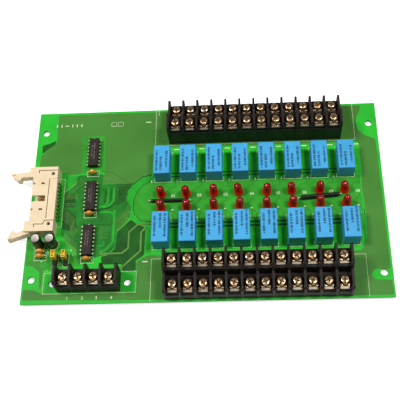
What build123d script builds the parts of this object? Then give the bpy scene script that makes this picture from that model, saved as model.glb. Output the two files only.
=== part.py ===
from build123d import *
import os

# Sixteen channel relay output board. All sizes are in millimetres.
# The origin is the centre of the mounting hole pattern on the underside of the board, +Z up,
# +X to the right and +Y to the back. Places on the board are given from its front left corner,
# and heights from its top face.

# Circuit board
board_length = 220.0
board_depth = 132.0
board_thickness = 1.6
mount_inset_x = 5.225
mount_inset_y = 15.2
mount_hole_diameter = 4.2
lead_stub = 1.6
resting_lead_stub = 2.2

# Barrier terminal blocks, sizes shared by all three
way_pitch = 9.0
fin_thickness = 1.4
fin_corner_break = 1.3
wall_setback = 1.3
skirt_setback = 0.4
terminal_thickness = 0.9
terminal_width = 5.2
leg_width = 1.0
leg_thickness = 0.8
leg_offset = 2.2
channel_margin = 0.4
clamp_width = 6.4
clamp_depth = 6.2
clamp_thickness = 0.8
screw_head_diameter = 5.8
screw_head_height = 2.3
screw_shank_diameter = 2.9
screw_shank_length = 4.6
screw_head_taper = 24
screw_head_sides = 8
screw_shank_sides = 4

# Two-tier twelve-way blocks: u runs from the tall inner face to the low outer face
two_tier_ways = 12
two_tier_depth = 25.4
high_seat = 14.2
high_fin_top = 20.5
high_screw_u = 6.1
high_shelf_end = 12.2
low_seat = 7.7
low_fin_top = 13.9
low_screw_u = 19.1
low_shelf_start = 13.2
low_skirt_top = 6.0
high_skirt_top = 12.5
fin_step_start = 11.8
fin_step_end = 13.8
two_tier_terminal_length = 9.2
upper_block_x = 141.4
upper_block_inner_y = 105.6
lower_block_x = 140.8
lower_block_inner_y = 26.4

# Four-way supply block: u runs from the front face to the rear face
supply_ways = 4
supply_depth = 12.5
supply_seat = 9.4
supply_fin_top = 16.3
supply_screw_u = 5.4
supply_terminal_length = 8.0
supply_skirt_top = 7.9
supply_block_x = 40.8
supply_block_front_y = 6.9
supply_hole_pitch = 45.1
supply_hole_diameter = 4.0
supply_hole_y = 12.5

# Relays: cover over a base tray, two rows of four pins on a 2.54 grid
relay_columns = 8
relay_pitch = 16.3
relay_first_x = 83.2
upper_relay_y = 88.9
lower_relay_y = 43.3
relay_width = 10.0
relay_length = 19.8
relay_height = 11.5
relay_standoff = 0.3
relay_edge_break = 0.35
relay_base_height = 1.2
relay_base_inset = 0.9
relay_base_play = 0.05
pin_pitch = 2.54
relay_row_spacing = 3 * pin_pitch
relay_coil_step = -3.5
relay_contact_steps = (-1.5, 1.5, 3.5)
relay_pin_width = 0.6
relay_pin_thickness = 0.3

# Indicator lamps, 5 mm round, hand fitted and so each leaning its own way
lamp_diameter = 5.0
lamp_height = 8.6
lamp_flange_diameter = 5.8
lamp_flange_height = 1.0
lamp_standoff = 0.8
lamp_sides = 8
lamp_dome_taper = 26
lamp_lead_width = 0.5
upper_lamp_y = 69.4
lower_lamp_y = 60.2
lamp_even_offset = -0.5
lamp_odd_offset = -1.3
upper_lamp_leans = ((-5, 5), (-4, 3), (-2, 8), (-6, 9), (3, 4), (-3, 6), (2, 8), (-4, 5))
lower_lamp_leans = ((-3, 4), (2, 2), (-2, 5), (4, 5), (-3, 3), (3, 6), (-2, 4), (3, 2))

# Driver chips, 16 pins each
chip_x = 38.2
chip_centres_y = (100.0, 69.0, 39.2)
chip_body_width = 6.4
chip_body_length = 19.6
chip_body_height = 3.3
chip_standoff = 0.8
chip_draft_inset = 0.25
chip_notch_radius = 0.9
chip_notch_depth = 0.5
chip_notch_sides = 8
chip_pins_a_side = 8
chip_row_spacing = 3 * pin_pitch
chip_lead_thickness = 0.25
chip_lead_width = 0.9

# Ceramic capacitors: three between the chips along X, two beside the jumpers
disc_length = 4.4
disc_thickness = 2.6
disc_height = 4.4
disc_edge_break = 0.8
disc_standoff = 0.6
disc_lead_pitch = 2 * pin_pitch
disc_lead_width = 0.5
disc_face_break = 0.7
chip_disc_gaps = (3.0, 0.7, 0.9)
side_disc_places = ((9.6, 32.8), (9.6, 29.6))

# Electrolytic capacitors
can_diameter = 6.3
can_height = 11.2
sleeve_thickness = 0.15
sleeve_lip = 0.55
can_sides = 12
bung_height = 0.9
bung_setback = 0.35
can_lead_pitch = 2.5
can_lead_width = 0.5
can_places = ((8.3, 37.6), (16.8, 37.7))

# Three-pin jumpers with a shunt over the rear two pins
jumper_places = ((19.1, 27.4), (25.4, 27.4))
jumper_pins = 3
header_pin_width = 0.64
jumper_base_width = 2.5
jumper_base_height = 2.5
jumper_pin_top = 8.4
shunt_width = 2.4
shunt_length = 4.9
shunt_height = 6.0
shunt_bore = 1.0
shunt_gap = 0.1

# Ribbon cable header on the left edge, mating face to the left
header_centre_y = 65.2
header_pairs = 10
header_half_length = 21.9
header_height = 9.0
header_mating_x = 2.7
header_rear_x = 17.9
header_ear_x = 0.0
header_floor_x = 11.5
header_wall = 1.4
cavity_half_length = 13.6
ear_start = 15.0
header_tail_recess_x = 15.5
header_tail_recess_height = 4.7
header_row_height = 3.35
header_tail_near_x = 16.36
pin_tip_x = 5.5
keyway_width = 4.1
keyway_end_x = 11.3
top_band_x = 12.8
top_band_drop = 0.4
window_x = 9.1
window_length = 2.3
window_width = 1.2
window_offsets = (10.4, -7.4)
nose_notch_depth = 1.5
nose_notch_width = 1.3
fixing_hole_x = 14.9
fixing_hole_offset = 17.1
fixing_hole_diameter = 2.4
groove_width = 0.5
groove_depth = 0.4
rear_ear_groove = ((18.4, 19.4), (6.1, 19.4), (5.8, 17.8))
front_ear_groove = ((18.4, -14.9), (12.6, -14.9), (11.3, -17.3), (6.1, -17.4), (5.8, -18.8))

# Ejector latches: the rear one is closed, the front one stands open
latch_pivot_x = 6.8
latch_pivot_offset = 17.8
bay_floor = 1.8
bay_roof = 7.4
latch_play = 0.3
trunnion_radius = 1.15
trunnion_clearance = 0.05
bearing_sides = 16
bearing_depth = 1.0
trunnion_reach = 0.8
latch_boss_radius = 2.3
latch_root = 6.6
latch_root_width = 3.7
latch_hook_face = 12.3
latch_neck_width = 3.3
latch_reach = 18.7
latch_end_width = 1.1
latch_outer_edges = (2.1, 1.3, 0.4)
latch_hook_depth = 2.2
latch_hook_tip = 1.7
latch_hook_lead = 0.7
thumb_length = 2.0
thumb_rise = 0.9
latch_open_angle = 28.0

# Sleeved wire links between two plated holes
link_wire_diameter = 0.8
link_sleeve_diameter = 2.2
link_sleeve_play = 0.02
link_sleeve_setback = 1.2
link_sides = 6
link_height = 1.5
link_ends = (((75.0, 65.0), (100.6, 65.0)), ((167.5, 64.2), (193.4, 66.2)))


def board_place(x, y, z=0.0):
    """Place given from the board's front left corner and its top face."""
    return Pos(x - board_length / 2, y - board_depth / 2, board_thickness + z)


def block(low, high):
    """Box between two corners in the current frame."""
    size = [b - a for a, b in zip(low, high)]
    return Pos(*low) * Box(*size, align=(Align.MIN, Align.MIN, Align.MIN))


def standing_box(width, depth, height):
    """Box centred on the origin of the current frame, standing on its XY plane."""
    return Box(width, depth, height, align=(Align.CENTER, Align.CENTER, Align.MIN))


def slab(points, x_start, x_end):
    """Outline of (u, z) points, extruded along X."""
    outline = make_face(Polyline(*[(x_start, u, z) for u, z in points], close=True))
    return extrude(outline, amount=x_end - x_start, dir=(1, 0, 0))


def prism(points, z_start, z_end):
    """Outline of (x, y) points, extruded along Z."""
    outline = make_face(Polyline(*[(x, y, z_start) for x, y in points], close=True))
    return extrude(outline, amount=z_end - z_start, dir=(0, 0, 1))


def lead(x, y, top, stub=lead_stub, width=lamp_lead_width, thickness=lamp_lead_width):
    """Straight lead from a height above the board to its tip under the board."""
    bottom = -board_thickness - stub
    return Pos(x, y, bottom) * standing_box(width, thickness, top - bottom)


def circuit_board():
    plate = block((0, 0, -board_thickness), (board_length, board_depth, 0))
    drill_length = 3 * board_thickness
    for side_x in (-1, 1):
        for side_y in (-1, 1):
            x = board_length / 2 + side_x * (board_length / 2 - mount_inset_x)
            y = board_depth / 2 + side_y * (board_depth / 2 - mount_inset_y)
            plate -= Pos(x, y, 0) * Cylinder(mount_hole_diameter / 2, drill_length)
        x = supply_block_x + side_x * supply_hole_pitch / 2
        plate -= Pos(x, supply_hole_y, 0) * Cylinder(supply_hole_diameter / 2, drill_length)
    return board_place(0, 0) * plate


def way_centres(ways):
    return [(k - (ways - 1) / 2) * way_pitch for k in range(ways)]


def channel(u, seat, leg_side, half):
    """Hollow of the housing under one row of terminals, for the screws' ends and the legs."""
    near = u - leg_side * (screw_shank_diameter / 2 + channel_margin)
    far = u + leg_side * (leg_offset + leg_thickness / 2 + channel_margin)
    return block((-half, min(near, far), -1), (half, max(near, far), seat + 1))


def broken_fin(points, tops, x):
    """One barrier fin with the named top corners broken."""
    fin = slab(points, x - fin_thickness / 2, x + fin_thickness / 2)
    corners = [
        edge
        for edge in fin.edges().filter_by(Axis.X)
        if any(abs(edge.center().Y - u) < 0.01 and abs(edge.center().Z - z) < 0.01 for u, z in tops)
    ]
    return chamfer(corners, fin_corner_break)


def two_tier_housing():
    outer_wall = two_tier_depth - wall_setback
    section = (
        (skirt_setback, 0),
        (skirt_setback, high_skirt_top),
        (wall_setback, high_skirt_top),
        (wall_setback, high_seat),
        (high_shelf_end, high_seat),
        (low_shelf_start, low_seat),
        (outer_wall, low_seat),
        (outer_wall, low_skirt_top),
        (two_tier_depth - skirt_setback, low_skirt_top),
        (two_tier_depth - skirt_setback, 0),
    )
    fin_outline = (
        (0, 0),
        (0, high_fin_top),
        (fin_step_start, high_fin_top),
        (fin_step_end, low_fin_top),
        (two_tier_depth, low_fin_top),
        (two_tier_depth, 0),
    )
    tops = ((0, high_fin_top), (fin_step_start, high_fin_top), (two_tier_depth, low_fin_top))
    half = two_tier_ways * way_pitch / 2
    body = slab(section, -half, half)
    body -= channel(high_screw_u, high_seat, 1, half) + channel(low_screw_u, low_seat, -1, half)
    for x in way_centres(two_tier_ways + 1):
        body += broken_fin(fin_outline, tops, x)
    return body


def supply_housing():
    rear_wall = supply_depth - wall_setback
    section = (
        (skirt_setback, 0),
        (skirt_setback, supply_skirt_top),
        (wall_setback, supply_skirt_top),
        (wall_setback, supply_seat),
        (rear_wall, supply_seat),
        (rear_wall, 0),
    )
    fin_outline = ((0, 0), (0, supply_fin_top), (supply_depth, supply_fin_top), (supply_depth, 0))
    tops = ((0, supply_fin_top), (supply_depth, supply_fin_top))
    half = supply_ways * way_pitch / 2
    body = slab(section, -half, half)
    body -= channel(supply_screw_u, supply_seat, 1, half)
    for x in way_centres(supply_ways + 1):
        body += broken_fin(fin_outline, tops, x)
    return body


def terminal(x, u, seat, length, leg_side):
    """Terminal plate on its seat with a leg down through the board."""
    plate = Pos(x, u, seat) * standing_box(terminal_width, length, terminal_thickness)
    leg_u = u + leg_side * leg_offset
    leg_top = seat + terminal_thickness / 2
    return plate + lead(x, leg_u, leg_top, resting_lead_stub, leg_width, leg_thickness)


def clamp_plate(x, u, seat):
    """Square washer plate held captive under the screw's head."""
    z = seat + terminal_thickness
    return Pos(x, u, z) * standing_box(clamp_width, clamp_depth, clamp_thickness)


def screw(x, u, seat):
    """Pan head screw whose shank goes down through the clamp and the terminal plate."""
    z = seat + terminal_thickness + clamp_thickness
    rim = RegularPolygon(screw_head_diameter / 2, screw_head_sides)
    head = extrude(rim, amount=screw_head_height, taper=screw_head_taper)
    shank = extrude(RegularPolygon(screw_shank_diameter / 2, screw_shank_sides), amount=-screw_shank_length)
    return Pos(x, u, z) * (head + shank)


def two_tier_seats():
    """Every terminal place of a two-tier block: x, u, seat height and the side its leg is on."""
    seats = []
    for x in way_centres(two_tier_ways):
        seats.append((x, high_screw_u, high_seat, 1))
        seats.append((x, low_screw_u, low_seat, -1))
    return seats


def supply_seats():
    return [(x, supply_screw_u, supply_seat, 1) for x in way_centres(supply_ways)]


upper_block_place = board_place(upper_block_x, upper_block_inner_y)
lower_block_place = board_place(lower_block_x, lower_block_inner_y) * Rot(0, 0, 180)
supply_block_place = board_place(supply_block_x, supply_block_front_y)


def terminals(place, seats, length):
    return [place * terminal(x, u, seat, length, side) for x, u, seat, side in seats]


def at_every_seat(make):
    """The same piece at each screw place of the three blocks."""
    pieces = [upper_block_place * make(x, u, seat) for x, u, seat, _ in two_tier_seats()]
    pieces += [lower_block_place * make(x, u, seat) for x, u, seat, _ in two_tier_seats()]
    pieces += [supply_block_place * make(x, u, seat) for x, u, seat, _ in supply_seats()]
    return pieces


def relay_places():
    """Relay centres, upper row first, left to right."""
    xs = [relay_first_x + k * relay_pitch for k in range(relay_columns)]
    return [(x, y) for y in (upper_relay_y, lower_relay_y) for x in xs]


def relay_cover():
    body = Pos(0, 0, relay_standoff) * standing_box(
        relay_width, relay_length, relay_height - relay_standoff
    )
    body = chamfer(body.faces().sort_by(Axis.Z)[-1].edges(), relay_edge_break)
    recess = Box(
        relay_width - 2 * relay_base_inset,
        relay_length - 2 * relay_base_inset,
        2 * (relay_standoff + relay_base_height),
    )
    return body - recess


def relay_base():
    return Pos(0, 0, relay_standoff) * standing_box(
        relay_width - 2 * (relay_base_inset + relay_base_play),
        relay_length - 2 * (relay_base_inset + relay_base_play),
        relay_base_height,
    )


def relay_pins():
    """Two coil pins side by side at the front and the three contact pins down one side."""
    side = relay_row_spacing / 2
    places = [(-side, relay_coil_step), (side, relay_coil_step)]
    places += [(side, step) for step in relay_contact_steps]
    return [
        lead(x, step * pin_pitch, relay_standoff, lead_stub, relay_pin_thickness, relay_pin_width)
        for x, step in places
    ]


def lamp_places():
    """Lamp base centre and its lean to the right and to the back, upper row first."""
    places = []
    for y, leans in ((upper_lamp_y, upper_lamp_leans), (lower_lamp_y, lower_lamp_leans)):
        for k in range(relay_columns):
            offset = lamp_odd_offset if k % 2 else lamp_even_offset
            right, back = leans[k]
            places.append(board_place(relay_first_x + k * relay_pitch + offset, y) * Rot(-back, right, 0))
    return places


def lamp_lens():
    """Flange, straight body and dome of one lamp."""
    radius = lamp_diameter / 2
    straight = lamp_height - radius
    flange = extrude(RegularPolygon(lamp_flange_diameter / 2, lamp_sides), amount=lamp_flange_height)
    body = extrude(RegularPolygon(radius, lamp_sides), amount=straight)
    dome = extrude(RegularPolygon(radius, lamp_sides), amount=radius, taper=lamp_dome_taper)
    return Pos(0, 0, lamp_standoff) * (flange + body + Pos(0, 0, straight) * dome)


def lamp_leads():
    return [lead(0, side * pin_pitch / 2, lamp_standoff) for side in (-1, 1)]


def chip_body():
    half = chip_body_width / 2
    middle = chip_standoff + chip_body_height / 2
    top = chip_standoff + chip_body_height
    narrow = half - chip_draft_inset
    outline = [(-narrow, chip_standoff), (narrow, chip_standoff), (half, middle)]
    outline += [(narrow, top), (-narrow, top), (-half, middle)]
    face = make_face(Polyline(*[(x, -chip_body_length / 2, z) for x, z in outline], close=True))
    body = extrude(face, amount=chip_body_length, dir=(0, 1, 0))
    notch = extrude(RegularPolygon(chip_notch_radius, chip_notch_sides), amount=chip_notch_depth + 1)
    return body - Pos(0, chip_body_length / 2, top - chip_notch_depth) * notch


def chip_lead(side, y):
    """Lead that comes out of the body's middle and turns down through the board."""
    middle = chip_standoff + chip_body_height / 2
    inner = chip_body_width / 2
    outer = chip_row_spacing / 2 + chip_lead_thickness
    tip = -board_thickness - lead_stub
    profile = [
        (inner, middle - chip_lead_thickness / 2),
        (inner, middle + chip_lead_thickness / 2),
        (outer, middle + chip_lead_thickness / 2),
        (outer, tip),
        (outer - chip_lead_thickness, tip),
        (outer - chip_lead_thickness, middle - chip_lead_thickness / 2),
    ]
    face = make_face(Polyline(*[(side * x, y - chip_lead_width / 2, z) for x, z in profile], close=True))
    return extrude(face, amount=chip_lead_width, dir=(0, 1, 0))


def chip_leads():
    ys = [(k - (chip_pins_a_side - 1) / 2) * pin_pitch for k in range(chip_pins_a_side)]
    return [chip_lead(side, y) for side in (-1, 1) for y in ys]


def disc_places():
    """One capacitor in front of each chip, and two beside the jumpers."""
    reach = (chip_body_length + disc_thickness) / 2
    chip_places = [(chip_x, y - reach - gap) for y, gap in zip(chip_centres_y, chip_disc_gaps)]
    return chip_places + list(side_disc_places)


def disc_body():
    """Dipped lozenge of a small ceramic capacitor, thin at its rim."""
    half = disc_length / 2
    rim = disc_edge_break
    low = disc_standoff
    high = disc_standoff + disc_height
    outline = [(-half, low + rim), (-half + rim, low), (half - rim, low), (half, low + rim)]
    outline += [(half, high - rim), (half - rim, high), (-half + rim, high), (-half, high - rim)]
    face = make_face(Polyline(*[(x, -disc_thickness / 2, z) for x, z in outline], close=True))
    body = extrude(face, amount=disc_thickness, dir=(0, 1, 0))
    front = body.faces().sort_by(Axis.Y)[0]
    rear = body.faces().sort_by(Axis.Y)[-1]
    return chamfer(front.edges() + rear.edges(), disc_face_break)


def disc_leads():
    """Leads that come out of the ends of the body and turn down."""
    leads = []
    for side in (-1, 1):
        outer = side * disc_lead_pitch / 2
        inner = side * disc_length / 2
        height = disc_standoff + disc_height / 2
        arm = block(
            (min(inner, outer), -disc_lead_width / 2, height - disc_lead_width),
            (max(inner, outer), disc_lead_width / 2, height),
        )
        leads.append(arm + lead(outer, 0, height))
    return leads


def can_prism(radius, bottom, top):
    """Round length of a capacitor between two heights."""
    return Pos(0, 0, bottom) * extrude(RegularPolygon(radius, can_sides), amount=top - bottom)


def can_body():
    return can_prism(can_diameter / 2 - sleeve_thickness, bung_height, can_height)


def can_sleeve():
    """Shrunk sleeve with a lip turned in over the can's top edge."""
    outer = can_diameter / 2
    inner = outer - sleeve_thickness
    lip_top = can_height + sleeve_thickness
    return can_prism(outer, bung_height, lip_top) - can_prism(inner, 0, can_height) - can_prism(
        inner - sleeve_lip, 0, lip_top + 1
    )


def can_bung():
    return can_prism(can_diameter / 2 - sleeve_thickness - bung_setback, 0, bung_height)


def can_leads():
    return [
        lead(side * can_lead_pitch / 2, 0, 0, lead_stub, can_lead_width, can_lead_width)
        for side in (-1, 1)
    ]


def jumper_pin_ys():
    return [(k - (jumper_pins - 1) / 2) * pin_pitch for k in range(jumper_pins)]


def jumper_base():
    length = jumper_pins * pin_pitch
    return standing_box(jumper_base_width, length, jumper_base_height)


def jumper_pin_row():
    return [
        lead(0, y, jumper_pin_top, lead_stub, header_pin_width, header_pin_width)
        for y in jumper_pin_ys()
    ]


def jumper_shunt():
    """Push-on shunt over the rear two pins, open at its top as the test point."""
    ys = jumper_pin_ys()[-2:]
    bottom = jumper_base_height + shunt_gap
    body = Pos(0, sum(ys) / 2, bottom) * standing_box(shunt_width, shunt_length, shunt_height)
    for y in ys:
        body -= Pos(0, y, bottom - 1) * standing_box(shunt_bore, shunt_bore, shunt_height + 2)
    return body


def header_y(offset):
    return header_centre_y + offset


def header_housing():
    """Latched right-angle box header, in board coordinates."""
    ends = (header_y(-header_half_length), header_y(header_half_length))
    body = block((header_mating_x, ends[0], 0), (header_rear_x, ends[1], header_height))
    for side in (-1, 1):
        start = header_y(side * ear_start)
        end = header_y(side * header_half_length)
        low_y = min(start, end)
        high_y = max(start, end)
        body += block((header_ear_x, low_y, 0), (header_mating_x, high_y, header_height))
        bay_low = low_y if side > 0 else low_y - 1
        bay_high = high_y + 1 if side > 0 else high_y
        bay_end = latch_pivot_x + latch_boss_radius + latch_play
        body -= block((header_ear_x - 1, bay_low, bay_floor), (bay_end, bay_high, bay_roof))
        pivot_y = header_y(side * latch_pivot_offset)
        bearing = RegularPolygon(trunnion_radius + trunnion_clearance, bearing_sides, major_radius=False)
        body -= Pos(latch_pivot_x, pivot_y, bay_floor - bearing_depth) * extrude(
            bearing, amount=bay_roof - bay_floor + 2 * bearing_depth
        )
        fixing_y = header_y(side * fixing_hole_offset)
        body -= Pos(fixing_hole_x, fixing_y) * Cylinder(fixing_hole_diameter / 2, 3 * header_height)
    for offset in window_offsets:
        body -= Pos(window_x, header_y(offset), header_height - header_wall - 1) * standing_box(
            window_length, window_width, header_wall + 2
        )
        body -= Pos(header_mating_x, header_y(offset), header_height - header_wall - 1) * standing_box(
            2 * nose_notch_depth, nose_notch_width, header_wall + 2
        )
    cavity = block(
        (header_mating_x - 1, header_y(-cavity_half_length), header_wall),
        (header_floor_x, header_y(cavity_half_length), header_height - header_wall),
    )
    keyway = block(
        (header_mating_x - 1, header_y(-keyway_width / 2), header_height - header_wall - 1),
        (keyway_end_x, header_y(keyway_width / 2), header_height + 1),
    )
    tail_recess = block(
        (header_tail_recess_x, header_y(-cavity_half_length), -1),
        (header_rear_x + 1, header_y(cavity_half_length), header_tail_recess_height),
    )
    top_band = block(
        (top_band_x, header_y(-cavity_half_length), header_height - top_band_drop),
        (header_rear_x + 1, header_y(cavity_half_length), header_height + 1),
    )
    body = body - cavity - keyway - tail_recess - top_band
    return body - groove(rear_ear_groove) - groove(front_ear_groove)


def groove(route):
    """Shallow moulded groove in the header's top along points given from its middle."""
    cuts = []
    for (x0, offset0), (x1, offset1) in zip(route, route[1:]):
        along = Vector(x1 - x0, offset1 - offset0)
        middle = Pos((x0 + x1) / 2, header_y((offset0 + offset1) / 2), header_height - groove_depth)
        turn = Rot(0, 0, Vector(1, 0).get_signed_angle(along))
        cuts.append(middle * turn * standing_box(along.length + groove_width, groove_width, 1))
    return cuts


def header_pins():
    pins = []
    for k in range(header_pairs):
        y = header_y((k - (header_pairs - 1) / 2) * pin_pitch)
        for row in (0, 1):
            height = header_row_height + row * pin_pitch
            tail_x = header_tail_near_x + row * pin_pitch
            half = header_pin_width / 2
            arm = block((pin_tip_x, y - half, height - half), (tail_x + half, y + half, height + half))
            tail = lead(tail_x, y, height, resting_lead_stub, header_pin_width, header_pin_width)
            pins.append(arm + tail)
    return pins


def latch():
    """Rear latch about its pivot: the arm runs to -X and the hook turns in to -Y."""
    boss = [Vector(latch_boss_radius, 0).rotate(Axis.Z, angle) for angle in range(-90, 91, 30)]
    outer_root, outer_neck, outer_end = latch_outer_edges
    inner_neck = outer_neck - latch_neck_width
    hook_tip = inner_neck - latch_hook_depth
    hook_start = latch_hook_face + latch_hook_lead
    thumb_end = [(-latch_reach, outer_end), (-latch_reach, outer_end - latch_end_width)]
    arm = [(-latch_root, outer_root), (-latch_hook_face, outer_neck)] + thumb_end
    arm += [(-hook_start - latch_hook_tip, hook_tip), (-hook_start, hook_tip)]
    arm += [(-latch_hook_face, inner_neck), (-latch_root, outer_root - latch_root_width)]
    low = bay_floor + latch_play
    high = bay_roof - latch_play
    body = prism([(p.X, p.Y) for p in boss] + arm, low, high)
    thumb_start = -latch_reach + thumb_length
    inner = [(thumb_start, outer_end - latch_end_width), (thumb_start, outer_end)]
    thumb = prism(thumb_end + inner, low, high + thumb_rise)
    trunnion = Pos(0, 0, (low + high) / 2) * Cylinder(trunnion_radius, high - low + 2 * trunnion_reach)
    return body + thumb + trunnion


def rod(start, end, diameter):
    """Straight length of wire or sleeve between two points."""
    along = Vector(*end) - Vector(*start)
    across = Plane(origin=start, x_dir=Vector(0, 0, 1).cross(along), z_dir=along)
    return extrude(across * RegularPolygon(diameter / 2, link_sides), amount=along.length)


def link_wire(start, end):
    """Straight wire along the board with both ends turned down into their holes."""
    legs = [
        lead(x, y, link_height, lead_stub, link_wire_diameter, link_wire_diameter)
        for x, y in (start, end)
    ]
    return rod((*start, link_height), (*end, link_height), link_wire_diameter) + legs


def link_sleeve(start, end):
    """Sleeve over the straight stretch, resting on the board."""
    direction = (Vector(*end, 0) - Vector(*start, 0)).normalized()
    first = Vector(*start, link_height) + direction * link_sleeve_setback
    last = Vector(*end, link_height) - direction * link_sleeve_setback
    bore = link_wire_diameter + 2 * link_sleeve_play
    return rod(first, last, link_sleeve_diameter) - rod(first - direction, last + direction, bore)


on_board = board_place(0, 0)


def on_relays(make):
    return [board_place(x, y) * piece for x, y in relay_places() for piece in make()]


parts = {"circuit_board": [circuit_board()]}

parts["header_housing"] = [on_board * header_housing()]
parts["header_pins"] = [on_board * pin for pin in header_pins()]
rear_pivot = board_place(latch_pivot_x, header_y(latch_pivot_offset))
front_pivot = board_place(latch_pivot_x, header_y(-latch_pivot_offset))
parts["rear_latch"] = [rear_pivot * latch()]
parts["front_latch"] = [front_pivot * Rot(0, 0, latch_open_angle) * mirror(latch(), Plane.XZ)]

for number, y in enumerate(chip_centres_y, 1):
    parts[f"driver_chip_{number}"] = [board_place(chip_x, y) * chip_body()]
parts["chip_leads"] = [board_place(chip_x, y) * piece for y in chip_centres_y for piece in chip_leads()]

parts["ceramic_capacitors"] = [board_place(*place) * disc_body() for place in disc_places()]
parts["ceramic_leads"] = [board_place(*place) * piece for place in disc_places() for piece in disc_leads()]
parts["electrolytic_cans"] = [board_place(*place) * can_body() for place in can_places]
parts["electrolytic_sleeves"] = [board_place(*place) * can_sleeve() for place in can_places]
parts["electrolytic_bungs"] = [board_place(*place) * can_bung() for place in can_places]
parts["electrolytic_leads"] = [board_place(*place) * piece for place in can_places for piece in can_leads()]

parts["jumper_bases"] = [board_place(*place) * jumper_base() for place in jumper_places]
parts["jumper_pins"] = [board_place(*place) * pin for place in jumper_places for pin in jumper_pin_row()]
parts["jumper_shunts"] = [board_place(*place) * jumper_shunt() for place in jumper_places]

for number, (x, y) in enumerate(relay_places(), 1):
    parts[f"relay_cover_{number:02d}"] = [board_place(x, y) * relay_cover()]
parts["relay_bases"] = on_relays(lambda: [relay_base()])
parts["relay_pins"] = on_relays(relay_pins)

lamps = lamp_places()
parts["upper_lamps"] = [place * lamp_lens() for place in lamps[:relay_columns]]
parts["lower_lamps"] = [place * lamp_lens() for place in lamps[relay_columns:]]
parts["lamp_leads"] = [place * piece for place in lamps for piece in lamp_leads()]

parts["upper_block_housing"] = [upper_block_place * two_tier_housing()]
parts["lower_block_housing"] = [lower_block_place * two_tier_housing()]
parts["supply_block_housing"] = [supply_block_place * supply_housing()]
parts["upper_terminals"] = terminals(upper_block_place, two_tier_seats(), two_tier_terminal_length)
parts["lower_terminals"] = terminals(lower_block_place, two_tier_seats(), two_tier_terminal_length)
parts["supply_terminals"] = terminals(supply_block_place, supply_seats(), supply_terminal_length)
parts["clamp_plates"] = at_every_seat(clamp_plate)
parts["terminal_screws"] = at_every_seat(screw)

parts["link_wires"] = [on_board * link_wire(*ends) for ends in link_ends]
parts["link_sleeves"] = [on_board * link_sleeve(*ends) for ends in link_ends]

os.makedirs("parts", exist_ok=True)
for name, solids in parts.items():
    shape = solids[0] if len(solids) == 1 else Compound(children=solids)
    shape.label = name
    export_step(shape, f"parts/{name}.step")
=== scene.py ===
"""Finishes and fine detail of a sixteen channel relay module board."""

import math
import random

import bmesh
import bpy
from bpy.props import FloatProperty, FloatVectorProperty
from mathutils import Matrix, Vector


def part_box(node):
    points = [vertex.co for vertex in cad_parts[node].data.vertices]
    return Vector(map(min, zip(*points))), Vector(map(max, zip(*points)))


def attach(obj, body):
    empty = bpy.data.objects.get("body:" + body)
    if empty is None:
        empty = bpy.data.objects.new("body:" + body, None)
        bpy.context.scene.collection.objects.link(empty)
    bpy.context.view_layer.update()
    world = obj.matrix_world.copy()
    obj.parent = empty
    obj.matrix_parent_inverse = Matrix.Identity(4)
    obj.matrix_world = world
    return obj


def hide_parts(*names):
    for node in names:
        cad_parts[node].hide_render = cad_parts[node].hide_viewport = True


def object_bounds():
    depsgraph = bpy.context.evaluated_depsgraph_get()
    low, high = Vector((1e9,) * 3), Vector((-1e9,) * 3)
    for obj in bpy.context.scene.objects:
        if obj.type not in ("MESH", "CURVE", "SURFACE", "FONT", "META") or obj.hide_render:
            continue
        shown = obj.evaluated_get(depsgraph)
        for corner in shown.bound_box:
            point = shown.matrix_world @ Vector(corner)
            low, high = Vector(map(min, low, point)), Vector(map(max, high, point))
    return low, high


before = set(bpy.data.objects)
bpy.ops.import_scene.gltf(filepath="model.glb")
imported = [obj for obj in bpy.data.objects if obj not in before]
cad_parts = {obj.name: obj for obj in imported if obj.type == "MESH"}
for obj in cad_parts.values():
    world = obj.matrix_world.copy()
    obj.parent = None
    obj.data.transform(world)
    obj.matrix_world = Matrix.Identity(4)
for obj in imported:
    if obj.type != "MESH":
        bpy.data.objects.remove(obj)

bl_info = {
    "name": "Relay module board",
    "version": (1, 0, 0),
    "blender": (4, 5, 0),
    "location": "View3D > Sidebar > Relay board",
    "description": "Models the fine detail and the finishes of a relay module board",
    "category": "Add Mesh",
}

MM = 0.001
CAD_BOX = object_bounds()
BOARD_LOW, BOARD_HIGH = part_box("circuit_board")
RELAY_NODES = sorted(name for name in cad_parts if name.startswith("relay_cover_"))
CHIP_NODES = sorted(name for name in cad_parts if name.startswith("driver_chip_"))

# Points closer than this are one
MERGE = 0.001 * MM

# Places on the header in mm: its middle, its fixing holes to both sides of the middle, and the middle and
# the direction of its front groove's slanting part
HEADER_MIDDLE = 65.2
FIXING_X = 14.9
FIXING_OFFSET = 17.1
SLANT_MIDDLE = (11.95, -16.1)
SLANT = (0.476, 0.879)

# Front edge of a row of terminals in mm, from which the painted shade over the terminals' rears is laid out.
# The upper one is counted back by whole pitches
ROW_FRONTS = {"upper_terminal": 107.1 - 13 * 8, "lower_terminal": 2.7, "supply_terminal": 8.3}


def spot(x, y, z=0.0):
    """A place given in mm from the board's front left corner and its top face."""
    return Vector((BOARD_LOW.x + x * MM, BOARD_LOW.y + y * MM, BOARD_HIGH.z + z * MM))


def settings():
    return bpy.context.scene.relay_board


# Sizes and colours that a user would change

def length(label, text, size):
    return FloatProperty(name=label, description=text, default=size * MM, unit="LENGTH", subtype="DISTANCE")


def colour(label, text, value):
    return FloatVectorProperty(
        name=label, description=text, default=value, size=3, min=0, max=1, subtype="COLOR")


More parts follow.
